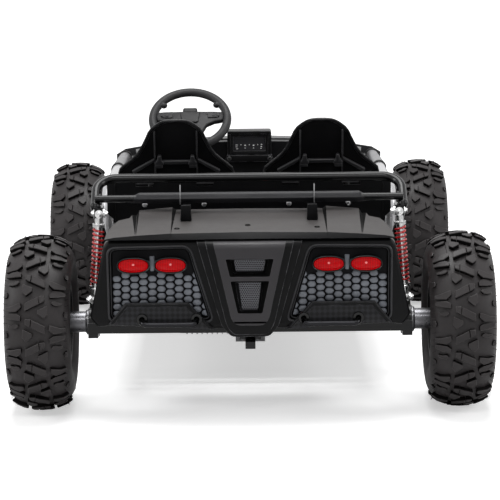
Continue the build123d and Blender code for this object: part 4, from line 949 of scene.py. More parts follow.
# A near-black finish for painted shade in folds, screw holes, recess walls and funnel walls.
painted_shade_black = finish("painted_shade_black", (0.0015, 0.0015, 0.0015), 0.70, grain_size=1500.0, bump=0.05, specular=0.05)
deck_columns = (((0.0, -530.0, 401.2), (0.0, -745.5, 387.0), (0.0, -757.5, 374.6)),
                ((150.0, -533.0, 400.6), (153.0, -749.0, 385.6), (153.0, -757.5, 374.6)),
                ((157.5, -533.0, 405.6), (154.6, -749.3, 385.7), (154.2, -757.5, 374.6)),
                ((224.0, -560.0, 404.0), (221.0, -752.6, 382.6), (221.0, -757.5, 374.6)),
                ((229.0, -585.0, 397.6), (222.6, -752.8, 382.4), (222.0, -757.5, 374.6)),
                ((237.0, -606.0, 401.6), (224.6, -753.0, 382.3), (223.0, -757.5, 374.6)),
                ((241.5, -625.0, 398.0), (226.0, -753.1, 382.2), (223.8, -757.5, 374.6)),
                ((263.0, -633.0, 394.6), (266.0, -755.6, 379.4), (266.0, -757.8, 374.6)),
                ((274.0, -660.0, 389.0), (278.0, -755.0, 377.0), (278.0, -756.5, 374.2)),
                ((283.5, -700.0, 380.0), (285.5, -752.5, 374.8), (285.5, -753.0, 372.6)))
deck_rows = [[(-x, y, z) for x, y, z in column] for column in deck_columns[:0:-1]] + [list(c) for c in deck_columns]
deselect()
bpy.ops.mesh.primitive_grid_add(x_subdivisions=len(deck_rows) - 1, y_subdivisions=2, size=1.0)
deck = bpy.context.object
deck.name = "rear_deck_cover"
for n, vertex in enumerate(deck.data.vertices):
    column, row = n % len(deck_rows), n // len(deck_rows)
    vertex.co = Vector(deck_rows[column][2 - row]) / 1000
whole_mesh(deck, bpy.ops.mesh.quads_convert_to_tris, quad_method="FIXED")
wall_made = deck.modifiers.new("wall", "SOLIDIFY")
wall_made.thickness = 0.0024
wall_made.offset = -1.0
bevelled(deck, 0.0007, 2, 12)
settle_on(deck, "chassis", "body_plastic", deck_top_painted_light, deck_lip_painted_shade, painted_shade_black, smooth=14)
# The lip and the steep faces get the darker copy of the plastic as painted shade, and the folds between the facets get
# the near-black painted shade.
for face in deck.data.polygons:
    across = abs(face.center.x)
    in_lip = face.center.y < -0.7455 - 0.000026 * across * 1000 and face.normal.z < 0.85
    in_fold = 0.1502 < across < 0.1572 and abs(face.normal.x) > 0.15
    in_wedge = 0.2215 < across < 0.2415 and abs(face.normal.x) > 0.25
    if in_fold or in_wedge:
        face.material_index = 2
    elif in_lip or face.normal.z < 0.5:
        face.material_index = 1
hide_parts("rear_deck")
# The three screw holes are lined with the near-black finish, painted shade inside them.
deck_details = []
for x, y, z in ((-0.1435, -0.7090, 0.3886), (-0.0030, -0.6880, 0.3912), (0.1345, -0.7060, 0.3890)):
    deck_details.append(spun(((0.0, 0.0028), (0.0010, 0.0050), (0.0002, 0.0058), (-0.003, 0.0058), (-0.003, 0.0)),
                             "deck_hole", 20, "Z"))
    deck_details[-1].data.transform(Matrix.Translation((x, y, z)) @ Matrix.Rotation(radians(5.0), 4, "X"))
fit(deck_details, "deck_screws", "body_plastic", painted_shade_black)


# Rear fascia. A deep moulded surround below the deck: each side holds a recess with two stepped rims round it, and the
# whole piece is softly rounded at its outer ends. It is one black moulding screwed to the tail posts.
fascia_front = -0.744
outer_half = ((0, 371.5), (278, 371.5), (288, 362), (307, 265), (318, 217), (302, 197), (277, 200), (89, 192),
              (0, 192))
recess_half = ((272, 349), (124, 351), (83, 215), (271, 216))


def both_halves(half):
    """A right-hand half outline closed by its mirror image."""
    return list(half) + [(-x, z) for x, z in reversed(half) if x > 0]


def grown(outline, by):
    """The outline moved outward by this many millimetres, corner by corner."""
    count = len(outline)
    area = sum(outline[n][0] * outline[(n + 1) % count][1] - outline[(n + 1) % count][0] * outline[n][1]
               for n in range(count))
    sign = 1.0 if area > 0 else -1.0
    result = []
    for n, corner in enumerate(outline):
        before, after = Vector(outline[n - 1]), Vector(outline[(n + 1) % count])
        corner = Vector(corner)
        one, two = (corner - before).normalized(), (after - corner).normalized()
        out_one, out_two = Vector((one.y, -one.x)) * sign, Vector((two.y, -two.x)) * sign
        middle = (out_one + out_two).normalized()
        result.append(tuple(corner + middle * (by / max(0.35, middle.dot(out_one)))))
    return result


def softened(outline, radius, steps=4):
    """The outline with its corners drawn as arcs."""
    result = []
    count = len(outline)
    for n in range(count):
        before, corner, after = Vector(outline[n - 1]), Vector(outline[n]), Vector(outline[(n + 1) % count])
        one, two = before - corner, after - corner
        reach = min(radius, one.length * 0.45, two.length * 0.45)
        start, end = corner + one.normalized() * reach, corner + two.normalized() * reach
        for step in range(steps + 1):
            t = step / steps
            result.append(tuple(start * (1 - t) ** 2 + corner * 2 * t * (1 - t) + end * t * t))
    return result


shoulder = 9.0
fascia_rings = []
for inward, back in ([(shoulder * (1 - sin(radians(a))), shoulder * (1 - cos(radians(a)))) for a in range(0, 91, 18)]
                     + [(0.0, 42.0)]):
    around = softened(grown(both_halves(outer_half[1:-1]), -inward), 6.0 - inward * 0.5)
    fascia_rings.append([(x / 1000, fascia_front + back / 1000, z / 1000) for x, z in around])
surround = shut(skin_between(fascia_rings, "fascia"))
for side in (1, -1):
    for grow_by, depth in ((9.5, 0.0030), (7.0, 0.0075), (3.0, 0.0110), (0.0, 0.0232)):
        hole_outline = softened(grown([(side * x, z) for x, z in recess_half], grow_by), 9.0 + grow_by)
        surround = cut(surround, slab("recess", hole_outline, fascia_front - 0.010, fascia_front + depth, 0.0))
bevelled(surround, 0.0008, 2, 38)
settle_on(surround, "chassis", "body_plastic", body_plastic, painted_shade_black, smooth=35)
# The recess walls get the near-black finish: painted shade inside the recesses.
for face in surround.data.polygons:
    x, y, z = face.center
    if 0.070 < abs(x) < 0.2805 and 0.2080 < z < 0.3590 and fascia_front + 0.0034 < y < fascia_front + 0.026:
        face.material_index = 1
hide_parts("rear_fascia")
# A lighter copy of the black plastic, painted highlight for the raised rims round the recesses; the nose grille uses it
# too.
rim_painted_highlight = finish("rim_painted_highlight", (0.0230, 0.0230, 0.0255), 0.34, grain_size=1250.0, bump=0.06, cloud=0.14,
                     wear_and_highlight_tone=(0.10, 0.10, 0.11), edge_band_width=0.0010, specular=0.32)
rims_made = []
for side in (1, -1):
    for grow_by, back, thick in ((8.6, 0.0012, 0.0026), (3.6, 0.0085, 0.0015)):
        line = softened(grown([(side * x, z) for x, z in recess_half], grow_by), 9.0 + grow_by, 6)
        rims_made.append(pipe("recess_rim", [(x / 1000, fascia_front + back, z / 1000) for x, z in line], thick,
                              sides=12, closed=True))
fit(rims_made, "recess_rims", "body_plastic", rim_painted_highlight, smooth=60)


# Honeycomb inserts. Raised six-sided satin blue-grey pads on plates in the recesses; the plates show in the grooves
# between the pads and are near black, painted shade for the grooves.
comb_pad = finish("comb_pad", (0.165, 0.176, 0.200), 0.36, grain_size=1300.0, bump=0.10, cloud=0.34,
                  wear_and_highlight_tone=(0.24, 0.25, 0.27), edge_band_width=0.0010, rough_spread=0.10, specular=0.4)
comb_groove_painted_shade = finish("comb_groove_painted_shade", (0.0035, 0.0035, 0.0045), 0.55, grain_size=1300.0, bump=0.10, specular=0.1)
comb_half = ((271.3, 348.6), (124.5, 350.6), (84.6, 217.5), (270.8, 218.0))
comb_face = fascia_front + 0.0135
plates = [slab("comb_plate", [(side * x, z) for x, z in comb_half], comb_face, fascia_front + 0.0228, 0.0)
          for side in (1, -1)]
fit(plates, "honeycomb_plates", "grille_grey", comb_groove_painted_shade)
pad = slab("comb_pad", [(9.4, 0.0), (5.2, 6.1), (-5.2, 6.1), (-9.4, 0.0), (-5.2, -6.1), (5.2, -6.1)], -0.0048, 0.001,
           0.0030, 3)
pad_places = []
for column in range(11):
    for row in range(-3, 9):
        x = 263.3 - column * 17.6
        z = 251.0 + row * 14.0 + (7.0 if column % 2 else 0.0)
        left_edge = 94.6 + (z - 251.0) * 0.300
        if x >= left_edge - 6 and z <= 303.5:
            pad_places.append((x / 1000, comb_face, z / 1000))
pads = joined(copies_at(pad, "comb_pads", pad_places), "comb_pads")
take(pads)
bpy.ops.object.mode_set(mode="EDIT")
for point, normal in (((0.2710, 0, 0), (1, 0, 0)), ((0, 0, 0.2180), (0, 0, -1)), ((0, 0, 0.3486), (0, 0, 1)),
                      ((0.0948, 0, 0.251), (-0.9578, 0, 0.2875))):
    bpy.ops.mesh.select_all(action="SELECT")
    bpy.ops.mesh.bisect(plane_co=point, plane_no=normal, clear_outer=True)
bpy.ops.object.mode_set(mode="OBJECT")
middle_rib = slab("lamp_rib", [(189.0, 308), (196.5, 308), (198.0, 338), (187.5, 338)], -0.0042, 0.001, 0.0016, 3)
middle_rib.data.transform(Matrix.Translation((0, comb_face, 0)))
pads = joined([pads, middle_rib], "comb_pads")
pads = mirrored(pads, "honeycomb_pads")
settle_on(pads, "chassis", "grille_grey", comb_pad)
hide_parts("honeycomb_inserts")


# Tail lamps. Four oval red lenses, each domed and ribbed inside, with a small bright bulb spot behind it, seated in a
# deep gloss-black oval bezel pressed into the honeycomb.
def lens_material():
    material, tree, shader = new_material("lamp_lens")
    bands = add_node(tree, "TexWave", {"Vector": add_node(tree, "TexCoord").outputs["Object"]},
                     {"Scale": 95.0, "Distortion": 0.2}, bands_direction="X").outputs["Fac"]
    relief = add_node(tree, "Bump", {"Height": bands}, {"Strength": 0.25, "Distance": 0.0006})
    tone = mixed(tree, bands, (0.40, 0.0010, 0.003, 1.0), (0.66, 0.0018, 0.005, 1.0))
    wire(shader, {"Normal": relief.outputs["Normal"], "Base Color": tone},
         {"Roughness": 0.14, "Specular IOR Level": 0.12, "Coat Weight": 0.03, "Subsurface Weight": 0.10,
          "Subsurface Radius": (0.004, 0.0006, 0.0006)})
    return material


lens_red = lens_material()
bezel_gloss = finish("bezel_gloss", (0.004, 0.004, 0.0045), 0.16, grain_size=2000.0, bump=0.03, coat=0.1, specular=0.3,
                     wear_and_highlight_tone=(0.05, 0.05, 0.05), edge_band_width=0.0008)
bulb_glow = finish("bulb_glow", (0.92, 0.26, 0.26), 0.20, grain_size=2000.0, bump=0.02)


def oval(half_x, half_z):
    """A rounded-rectangle oval as (x, z) in millimetres."""
    count, power = 48, 2.4
    points = []
    for n in range(count):
        angle = 2 * pi * n / count
        c, s = cos(angle), sin(angle)
        points.append((half_x * abs(c) ** (2 / power) * (1 if c >= 0 else -1),
                       half_z * abs(s) ** (2 / power) * (1 if s >= 0 else -1)))
    return points


lamp_places = (0.1560, 0.2295)
lamp_level = 0.322
bezel_section = ((32.6, 16.8, 0.0225), (32.6, 16.8, -0.006), (32.0, 16.2, -0.0084), (31.0, 15.2, -0.0090),
                 (30.2, 14.2, -0.0082), (29.7, 13.6, -0.0040), (29.5, 13.4, 0.004))
lens_section = ((29.5, 13.4, 0.002), (29.4, 13.3, -0.0070), (28.6, 12.6, -0.0084), (27.2, 11.3, -0.0084),
                (26.4, 10.6, -0.0066), (22.5, 8.6, -0.0074), (17.0, 6.4, -0.0082), (9.0, 3.6, -0.0089),
                (3.0, 1.2, -0.0091))


def oval_skin(section, middle, name):
    """Ovals of these half sizes in millimetres, each this far behind the fascia's face, joined into one skin."""
    return skin_between([[(middle + a / 1000, fascia_front + back, lamp_level + b / 1000)
                          for a, b in oval(half_x, half_z)] for half_x, half_z, back in section], name)


lenses, bezels, bulbs = [], [], []
for x in lamp_places:
    for side in (1, -1):
        bezels.append(oval_skin(bezel_section, side * x, "bezel"))
        lenses.append(oval_skin(lens_section, side * x, "lens"))
        bulbs.append(ball("bulb", (side * x, fascia_front - 0.0085, lamp_level + 0.0020), 0.0025,
                          (1.3, 0.35, 1.0), 16))
fit(bezels, "lamp_bezels", "body_plastic", bezel_gloss, smooth=40)
lens_set = fit(lenses, "lamp_lenses", "red_lens", lens_red, smooth=50)
fit(bulbs, "lamp_bulb_spots", "red_lens", bulb_glow, smooth=60)
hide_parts("tail_lamps")


# Tail skirts. A lacquered panel with a fine woven look below each recess, with a raised plain border along its top, and
# a bent bar handle whose ends drop into two round sockets.
def woven():
    material, tree, shader = new_material("woven_lacquer")
    place = add_node(tree, "Mapping", {"Vector": add_node(tree, "TexCoord").outputs["Object"]},
                     {"Rotation": (0.0, radians(45.0), 0.0), "Scale": (420.0, 420.0, 420.0)})
    parts = add_node(tree, "SeparateXYZ", {0: place.outputs[0]})
    waves = [add_node(tree, "Math", {0: parts.outputs[label]}, operation="SINE").outputs[0] for label in ("X", "Z")]
    product = add_node(tree, "Math", {0: waves[0], 1: waves[1]}, operation="MULTIPLY").outputs[0]
    level = add_node(tree, "MapRange", {"Value": product}, {"From Min": -0.5, "From Max": 0.5})
    tone = mixed(tree, level.outputs[0], (0.003, 0.003, 0.0035, 1.0), (0.017, 0.017, 0.020, 1.0))
    relief = add_node(tree, "Bump", {"Height": product}, {"Strength": 0.3, "Distance": 0.0003})
    wire(shader, {"Normal": relief.outputs["Normal"], "Base Color": tone},
         {"Roughness": 0.34, "Specular IOR Level": 0.2, "Coat Weight": 0.06})
    return material


weave = woven()
skirt_half = ((247, 247), (122, 247), (71, 192), (281, 204))
handle_sockets = ((0.106, 0.2145), (0.214, 0.2145))
skirts = [slab("skirt", [(side * x, z) for x, z in skirt_half], fascia_front - 0.0060, fascia_front - 0.0003,
               0.0016, 3) for side in (1, -1)]
edge_line = ((278, 205.5), (246, 245), (123, 245), (74.5, 193.5), (82, 193.8), (126, 239), (242.5, 239), (269, 205.0))
borders = [slab("border", [(side * x, z) for x, z in edge_line], fascia_front - 0.0088, fascia_front - 0.0050,
                0.0014, 3) for side in (1, -1)]
cup = spun(((0.000, 0.0060), (0.0, 0.0105), (0.0022, 0.0118), (0.0050, 0.0118), (0.0050, 0.0060)), "cup", 28, "Y")
sockets = copies_at(cup, "cup", [(side * x, fascia_front - 0.0110, z) for side in (1, -1) for x, z in handle_sockets])
skirt_set = fit(skirts, "tail_skirt_panels", "carbon_look", weave)
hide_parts("tail_skirts")
fit(borders, "tail_skirt_borders", "body_plastic", body_plastic)
fit(sockets, "handle_sockets", "body_plastic", bezel_gloss)
black_chrome = finish("black_chrome", (0.024, 0.024, 0.026), 0.15, metallic=1.0, grain_size=2400.0,
                      bump=0.02, cloud=0.15, rough_spread=0.05)
dress_solids(black_chrome, "grab_handles")


# Centre V panel. Three stepped V shapes lie one on another, the front one a lighter frame round two funnel openings,
# each closed at its foot by a perforated bright mesh.
v_front = -0.786
v_back = -0.7443
v_steps_from_front = (0.022, 0.011)
v_outer = ((0, 371.5), (104, 371.5), (57, 203), (38, 180), (0, 180))
v_ridge = ((0, 371.3), (87, 371.3), (46, 203), (33, 186), (0, 186))
v_face = ((0, 371.0), (71, 371.0), (37, 219), (27, 207), (0, 207))
funnels = (([(47, 339), (39, 304), (-39, 304), (-47, 339)], [(31.5, 335), (27, 312), (-27, 312), (-31.5, 335)]),
           ([(38, 295), (24, 231), (-24, 231), (-38, 295)], [(22.5, 290), (15.5, 235), (-15.5, 235), (-22.5, 290)]))
frame_grey = finish("frame_grey", (0.034, 0.032, 0.035), 0.42, grain_size=1250.0, bump=0.12, cloud=0.16,
                    wear_and_highlight_tone=(0.110, 0.110, 0.115), edge_band_width=0.0014, specular=0.25)


def v_slab(name, half, start, edge):
    outline = both_halves(half)
    corners = [Vector(p) for p in outline]
    reach = 9.0
    drawn = []
    for n, corner in enumerate(corners):
        if corner.y < 222 and abs(corner.x) > 1:
            before, after = corners[n - 1], corners[(n + 1) % len(corners)]
            for t in (0.0, 0.33, 0.67, 1.0):
                one = corner + (before - corner).normalized() * reach
                two = corner + (after - corner).normalized() * reach
                drawn.append(tuple(one * (1 - t) ** 2 + corner * 2 * t * (1 - t) + two * t * t))
        elif abs(corner.x) > 1:
            drawn.append(tuple(corner))
    item = slab(name, drawn, start, v_back, 0.0)
    take(item)
    bpy.ops.object.mode_set(mode="EDIT")
    bpy.ops.mesh.select_mode(type="EDGE")
    bpy.ops.mesh.select_all(action="DESELECT")
    bpy.ops.object.mode_set(mode="OBJECT")
    for line in item.data.edges:
        one, two = (item.data.vertices[n].co for n in line.vertices)
        line.select = abs(one.y - start) < 0.0001 and abs(two.y - start) < 0.0001 and min(one.z, two.z) > 0.370
    bpy.ops.object.mode_set(mode="EDIT")
    bpy.ops.mesh.bevel(offset=0.013, segments=6, affect="EDGES", clamp_overlap=False)
    bpy.ops.mesh.select_mode(type="VERT")
    bpy.ops.object.mode_set(mode="OBJECT")
    return bevelled(item, edge, 2, 25)


def funnel(rim_outline, foot_outline, depth):
    """A closed cutter that narrows from an opening's edge to its foot."""
    rings = []
    for outline, y, grow_by in ((rim_outline, v_front - 0.004, 2.0), (rim_outline, v_front + 0.0008, 0.0),
                                (foot_outline, v_front + depth, 0.0), (foot_outline, v_front + depth + 0.012, 0.0)):
        shape = softened(grown(outline, grow_by), 3.0, 3)
        rings.append([(x / 1000, y, z / 1000) for x, z in shape])
    return shut(skin_between(rings, "funnel"))


v_parts = [v_slab("v_outer", v_outer, v_front + v_steps_from_front[0], 0.0007),
           v_slab("v_ridge", v_ridge, v_front + v_steps_from_front[1], 0.0007)]
v_center = v_slab("v_face", v_face, v_front, 0.0007)
for rim_outline, foot_outline in funnels:
    v_center = cut(v_center, funnel(rim_outline, foot_outline, 0.018))
    for n in range(2):
        v_parts[n] = cut(v_parts[n], funnel(rim_outline, foot_outline, 0.018))
fit(v_parts, "v_panel_steps", "body_plastic", body_plastic, smooth=35)
v_frame = settle_on(v_center, "chassis", "satin_grey", frame_grey, painted_shade_black, smooth=35)
# The walls of the two funnels get the near-black finish too: painted shade inside them.
for face in v_frame.data.polygons:
    x, y, z = face.center
    inside = abs(x) < 0.0475 and 0.3035 < z < 0.3395 or abs(x) < 0.0385 and 0.2305 < z < 0.2955
    if inside and y > v_front + 0.0012:
        face.material_index = 1
v_frame.name = "v_panel_frame"
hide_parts("center_v_panel")

mesh_metal = finish("mesh_metal", (0.15, 0.15, 0.165), 0.40, metallic=0.6, grain_size=2400.0, bump=0.03, cloud=0.15)
cell = 0.00248
tile = spun(((0.0, cell), (0.0, 0.00168), (0.0008, 0.00168), (0.0008, cell)), "mesh_tile", 6, "Y")
tiles = []
step_x = cell * 2 * cos(radians(30))
for rim_outline, foot_outline in funnels:
    low_z, high_z = foot_outline[1][1] / 1000 - 0.002, foot_outline[0][1] / 1000 + 0.002
    rows = int((high_z - low_z) / (cell * 1.5)) + 1
    for row in range(rows):
        z = low_z + row * cell * 1.5
        share = (z - low_z) / (high_z - low_z)
        half_width = (foot_outline[1][0] + (foot_outline[0][0] - foot_outline[1][0]) * share) / 1000 + 0.001
        count = int(half_width / step_x) + 1
        for n in range(-count, count + 1):
            x = n * step_x + (step_x / 2 if row % 2 else 0.0)
            if abs(x) < half_width + 0.001:
                tiles.append(moved_copy(tile, "mesh", (x, v_front + 0.0195, z),
                                        Matrix.Rotation(radians(30.0), 4, "Y")))
bpy.data.objects.remove(tile)
mesh_sheets = joined(tiles, "perforated_meshes")
settle_on(mesh_sheets, "chassis", "satin_grey", mesh_metal)
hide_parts("grille_meshes")
# A near-black sheet behind the meshes, painted shade for the dark behind the perforations.
backing = slab("mesh_backing", [(-34, 341), (34, 341), (20, 229), (-20, 229)], v_front + 0.0225, v_front + 0.0240, 0.0)
settle_on(backing, "chassis", "body_plastic", comb_groove_painted_shade)


# Suspension units. Each damper is a bright can with a thinner rod, two round spring seats and a bolted eye at each end,
# inside a coil spring of red-coated wire wound from one seat to the other.
damper_metal = finish("damper_metal", (0.78, 0.78, 0.78), 0.28, metallic=1.0, grain_size=2200.0, bump=0.03, cloud=0.12,
                      wear_and_highlight_tone=(0.85, 0.85, 0.85), edge_band_width=0.0008)
spring_red = finish("spring_red", (0.62, 0.008, 0.012), 0.26, grain_size=1500.0, bump=0.05, cloud=0.12, coat=0.3,
                    wear_and_highlight_tone=(0.75, 0.45, 0.44), edge_band_width=0.0006)
dress_solids(damper_metal, "front_dampers", "rear_dampers")
damper_ends = {"front": ((0.272, 0.546, 0.15865), (0.262, 0.546, 0.350)),
               "rear": ((0.318, -0.576, 0.222), (0.305, -0.576, 0.401))}
for name, (low, high) in damper_ends.items():
    low, high = Vector(low), Vector(high)
    along = high - low
    reach = along.length
    along.normalize()
    base, top = reach * 0.14 + 0.0062, reach * 0.84 - 0.0022
    upright = Vector((0, 0, 1)).rotation_difference(along).to_matrix().to_4x4()
    turns = (top - base) / 0.0088
    steps = int(turns * 20)
    coil_line = []
    for n in range(steps + 1):
        angle = 2 * pi * turns * n / steps
        coil_line.append((0.0104 * cos(angle), 0.0104 * sin(angle), base + (top - base) * n / steps))
    coil = pipe("coil", coil_line, 0.0019, sides=8)
    coil.data.transform(Matrix.Translation(low) @ upright)
    coils = mirrored(coil, name + "_coils")
    settle_on(coils, "chassis", "spring", spring_red, smooth=60)
    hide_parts(name + "_springs")
    collars = []
    for share, radius, tall in ((0.535, 0.0096, 0.006), (0.40, 0.0092, 0.0025), (0.47, 0.0092, 0.0025),
                                (0.865, 0.0128, 0.0030), (0.125, 0.0128, 0.0030)):
        collar = spun(((0.0, radius - 0.0035), (0.0, radius - 0.0006), (0.0006, radius), (tall - 0.0006, radius),
                       (tall, radius - 0.0006), (tall, radius - 0.0035)), "collar", 32, "Z")
        collar.data.transform(Matrix.Translation(low + along * (reach * share)) @ upright)
        collars.append(collar)
    sleeve = spun(((reach * 0.16, 0.0060), (reach * 0.16, 0.0082), (reach * 0.945, 0.0082), (reach * 0.945, 0.0060)),
                  "sleeve", 28, "Z")
    sleeve.data.transform(Matrix.Translation(low) @ upright)
    collars.append(sleeve)
    for place in (low, high):
        boss_tube = spun(((-0.0105, 0.0048), (-0.0105, 0.0094), (0.0105, 0.0094), (0.0105, 0.0048)),
                         "boss_tube", 28, "X")
        boss_tube.data.transform(Matrix.Translation(place))
        collars.append(boss_tube)
        for side in (1, -1):
            nut = hex_nut("eye_nut", 0.0130, 0.0052, 0.0088)
            nut.data.transform(Matrix.Translation(place + Vector((side * 0.0105, 0, 0))) @ facing_out(side))
            collars.append(nut)
            cap_nut = hex_nut("eye_cap", 0.0120, 0.0060, 0.0088)
            turn = Matrix.Rotation(side * pi / 2, 4, "Z")
            cap_nut.data.transform(Matrix.Translation(place + Vector((0, side * 0.0133, 0))) @ turn)
            collars.append(cap_nut)
    settle_on(mirrored(joined(collars, "collars"), name + "_damper_fittings"), "chassis", "bright_steel", damper_metal)


# Side rails. Large bright tubes run from the frame up beside the seats and forward into grey sockets in the cowl. A
# grey sleeve covers the front part of each, with a black rubber ring at both of its ends.
silver_paint = finish("silver_paint", (0.46, 0.46, 0.47), 0.30, metallic=0.7, grain_size=1800.0, bump=0.04,
                      cloud=0.06, coat=0.3)
socket_grey = finish("socket_grey", (0.060, 0.060, 0.063), 0.40, grain_size=1400.0, bump=0.08, wear_and_highlight_tone=(0.3, 0.3, 0.3))
dress_solids(silver_paint, "side_rails")
dress_solids(socket_grey, "rail_sockets")
rail_ring = spun(((0.0, 0.0136), (0.0, 0.0168), (0.0012, 0.0180), (0.0070, 0.0180), (0.0082, 0.0168),
                  (0.0082, 0.0136)), "rail_ring", 40, "Y")
rail_rings = copies_at(rail_ring, "rail_ring", [(side * 0.304, 0.4375, 0.3845) for side in (1, -1)])
fit(rail_rings, "side_rail_rings", "soft_black", strap_rubber)
sleeve_grey = finish("sleeve_grey", (0.17, 0.17, 0.175), 0.34, metallic=0.3, grain_size=1500.0, bump=0.05, cloud=0.10,
                     wear_and_highlight_tone=(0.4, 0.4, 0.4), edge_band_width=0.0010, specular=0.3)
rail_line = ((0.304, 0.1250, 0.3974), (0.304, 0.2057, 0.3960), (0.304, 0.4370, 0.3846))
rail_sleeve = pipe("rail_sleeve", rail_line, 0.0148, 0.040, 24)
settle_on(mirrored(rail_sleeve, "side_rail_sleeves"), "chassis", "satin_grey", sleeve_grey, smooth=60)
end_ring = spun(((0.0, 0.0136), (0.0, 0.0155), (0.0010, 0.0165), (0.0120, 0.0165), (0.0130, 0.0155), (0.0130, 0.0136)),
                "end_ring", 40, "Y")
end_ring.data.transform(Matrix.Translation((0.304, 0.1180, 0.3975)))
settle_on(mirrored(end_ring, "side_rail_end_rings"), "chassis", "soft_black", strap_rubber)


# Steering wheel. A thick moulded grip with two thumb bumps on a wide flat boss that carries a block on top, a pad of
# buttons at each end and one broad lower spoke. A round hub under the boss joins it to the column.
wheel_grip = finish("wheel_grip", (0.019, 0.019, 0.020), 0.46, grain_size=1100.0, bump=0.20, cloud=0.12, specular=0.25,
                    wear_and_highlight_tone=(0.075, 0.075, 0.076), edge_band_width=0.002)
boss_plastic = finish("boss_plastic", (0.012, 0.012, 0.013), 0.44, grain_size=1300.0,
                      bump=0.12, cloud=0.12, specular=0.2, wear_and_highlight_tone=(0.08, 0.08, 0.082), edge_band_width=0.0014)
wheel_centre = (-0.137, 0.206, 0.505)
wheel_face = Matrix.Translation(wheel_centre) @ Matrix.Rotation(radians(-50.0), 4, "X")
deselect()
bpy.ops.mesh.primitive_torus_add(major_radius=0.0875, minor_radius=0.0100, major_segments=96, minor_segments=20,
                                 rotation=(pi / 2, 0, 0))
grip = bpy.context.object
settle(grip)
for side in (1, -1):
    bump = ball("bump", (side * 0.0625, -0.001, 0.0440), 0.0085, (1.0, 0.9, 0.8))
    grip = joined([grip, bump], "grip")
boss_outline = [(-77, 17), (-52, 18), (-22, 19), (22, 19), (52, 18), (77, 17), (80, 3), (77, -10), (58, -14),
                (40, -24), (31, -44), (27, -66), (30, -84), (-30, -84), (-27, -66), (-31, -44), (-40, -24), (-58, -14),
                (-77, -10), (-80, 3)]
boss = slab("boss", boss_outline, -0.0075, 0.0060, 0.0035, 3, 20.0)
window = slab("window", [(-16, -40), (16, -40), (13, -72), (-13, -72)], -0.02, 0.02, 0.0)
boss = cut(boss, window)
boss_parts = [boss, cuboid("block", (-0.017, -0.0100, 0.013), (0.017, 0.0060, 0.029), 0.0045, 4)]
boss_parts.append(slab("centre", softened([(-24, 14), (24, 14), (19, -20), (-19, -20)], 6.0), -0.0115, -0.004,
                       0.0022, 3))
for side in (1, -1):
    boss_parts.append(slab("pad", softened([(side * 38, 15), (side * 66, 14), (side * 67, -3), (side * 42, -5)], 4.0),
                           -0.0102, -0.004, 0.0014, 3))
    for n in range(2):
        boss_parts.append(cuboid("key", (side * (0.0545 + n * 0.0105) - 0.0042, -0.0116, -0.0005 + n * 0.0005),
                                 (side * (0.0545 + n * 0.0105) + 0.0042, -0.009, 0.0105), 0.0010, 2))
hub = spun(((0.004, 0.0), (0.004, 0.024), (0.012, 0.022), (0.0185, 0.014), (0.0185, 0.0)), "hub", 32, "Y")
boss_parts.append(hub)
boss_whole = joined(boss_parts, "steering_wheel_boss")
for item, label, material in ((grip, "steering_wheel_grip", wheel_grip),
                              (boss_whole, "steering_wheel_boss", boss_plastic)):
    item.data.transform(wheel_face)
    item.name = label
    settle_on(item, "steering", "soft_black", material, smooth=35)
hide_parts("steering_wheel")


# Dash and cowl. The dash is a plain black moulding across the cockpit with a hooded display and a small console below
# it. The cowl and nose are large faceted covers with headlamps let in, screwed to the frame.
cover_plastic = finish("cover_plastic", (0.0060, 0.0060, 0.0066), 0.33, grain_size=1250.0, bump=0.09, cloud=0.12,
                       wear_and_highlight_tone=(0.120, 0.120, 0.126), edge_band_width=0.0024, rough_spread=0.05, specular=0.16, soften=0.0030)
cowl_plastic = finish("cowl_plastic", (0.0200, 0.0200, 0.0212), 0.36, grain_size=1250.0, bump=0.08, cloud=0.16,
                      wear_and_highlight_tone=(0.140, 0.140, 0.146), edge_band_width=0.0026, rough_spread=0.05, specular=0.26, soften=0.0030)
dress_solids(cover_plastic, "dash_panel")
dress_solids(cowl_plastic, "cowl", "nose_panel")
screen_glass = finish("screen_glass", (0.030, 0.030, 0.033), 0.14, grain_size=3000.0, bump=0.0, cloud=0.05, coat=0.5)
mark_white = finish("mark_white", (0.80, 0.80, 0.80), 0.45, grain_size=3000.0, bump=0.0, cloud=0.02)
dress_solids(screen_glass, "display_screen")
marks = []
for x, z, wide, tall in ((-28, 437, 5, 1.3), (-28.5, 432.5, 4, 1.3), (-27, 428, 4, 1.2), (-18, 437.5, 1.8, 1.8),
                         (-8, 436, 3.4, 2.4), (-8, 429.5, 2.6, 1.4), (2, 437.5, 1.8, 1.8), (12, 436, 3.4, 2.4),
                         (12, 429.5, 2.6, 1.4), (22, 437.5, 1.8, 1.8), (31, 438, 3.0, 1.8), (30.5, 433, 3.0, 1.8),
                         (29.5, 428.5, 3.0, 1.6)):
    marks.append(cuboid("mark", ((x - wide / 2) / 1000, 0.2494, (z - tall / 2) / 1000),
                        ((x + wide / 2) / 1000, 0.2501, (z + tall / 2) / 1000), 0.0))
fit(marks, "display_marks", "screen", mark_white)
console_parts = [slab("console", softened([(-52, 413), (56, 413), (60, 397), (-56, 397)], 4.0), 0.2440, 0.3000,
                      0.0022, 3),
                 slab("visor", softened([(-49, 470.5), (53, 470.5), (55, 463), (-51, 463)], 4.0), 0.2425, 0.2990,
                      0.0020, 3)]
for x in (-0.046, 0.050):
    console_parts.append(cuboid("cheek", (x - 0.0045, 0.2460, 0.4080), (x + 0.0045, 0.3060, 0.4660), 0.0018, 3))
fit(console_parts, "display_console", "body_plastic", body_plastic)
console_screws = [moved_copy(dome_screw, "console_screws",
                             turn=Matrix.Translation((x, 0.2440, 0.405)) @ facing_back) for x in (-0.046, 0.050)]
fit(console_screws, "console_screws", "body_plastic", black_screw)

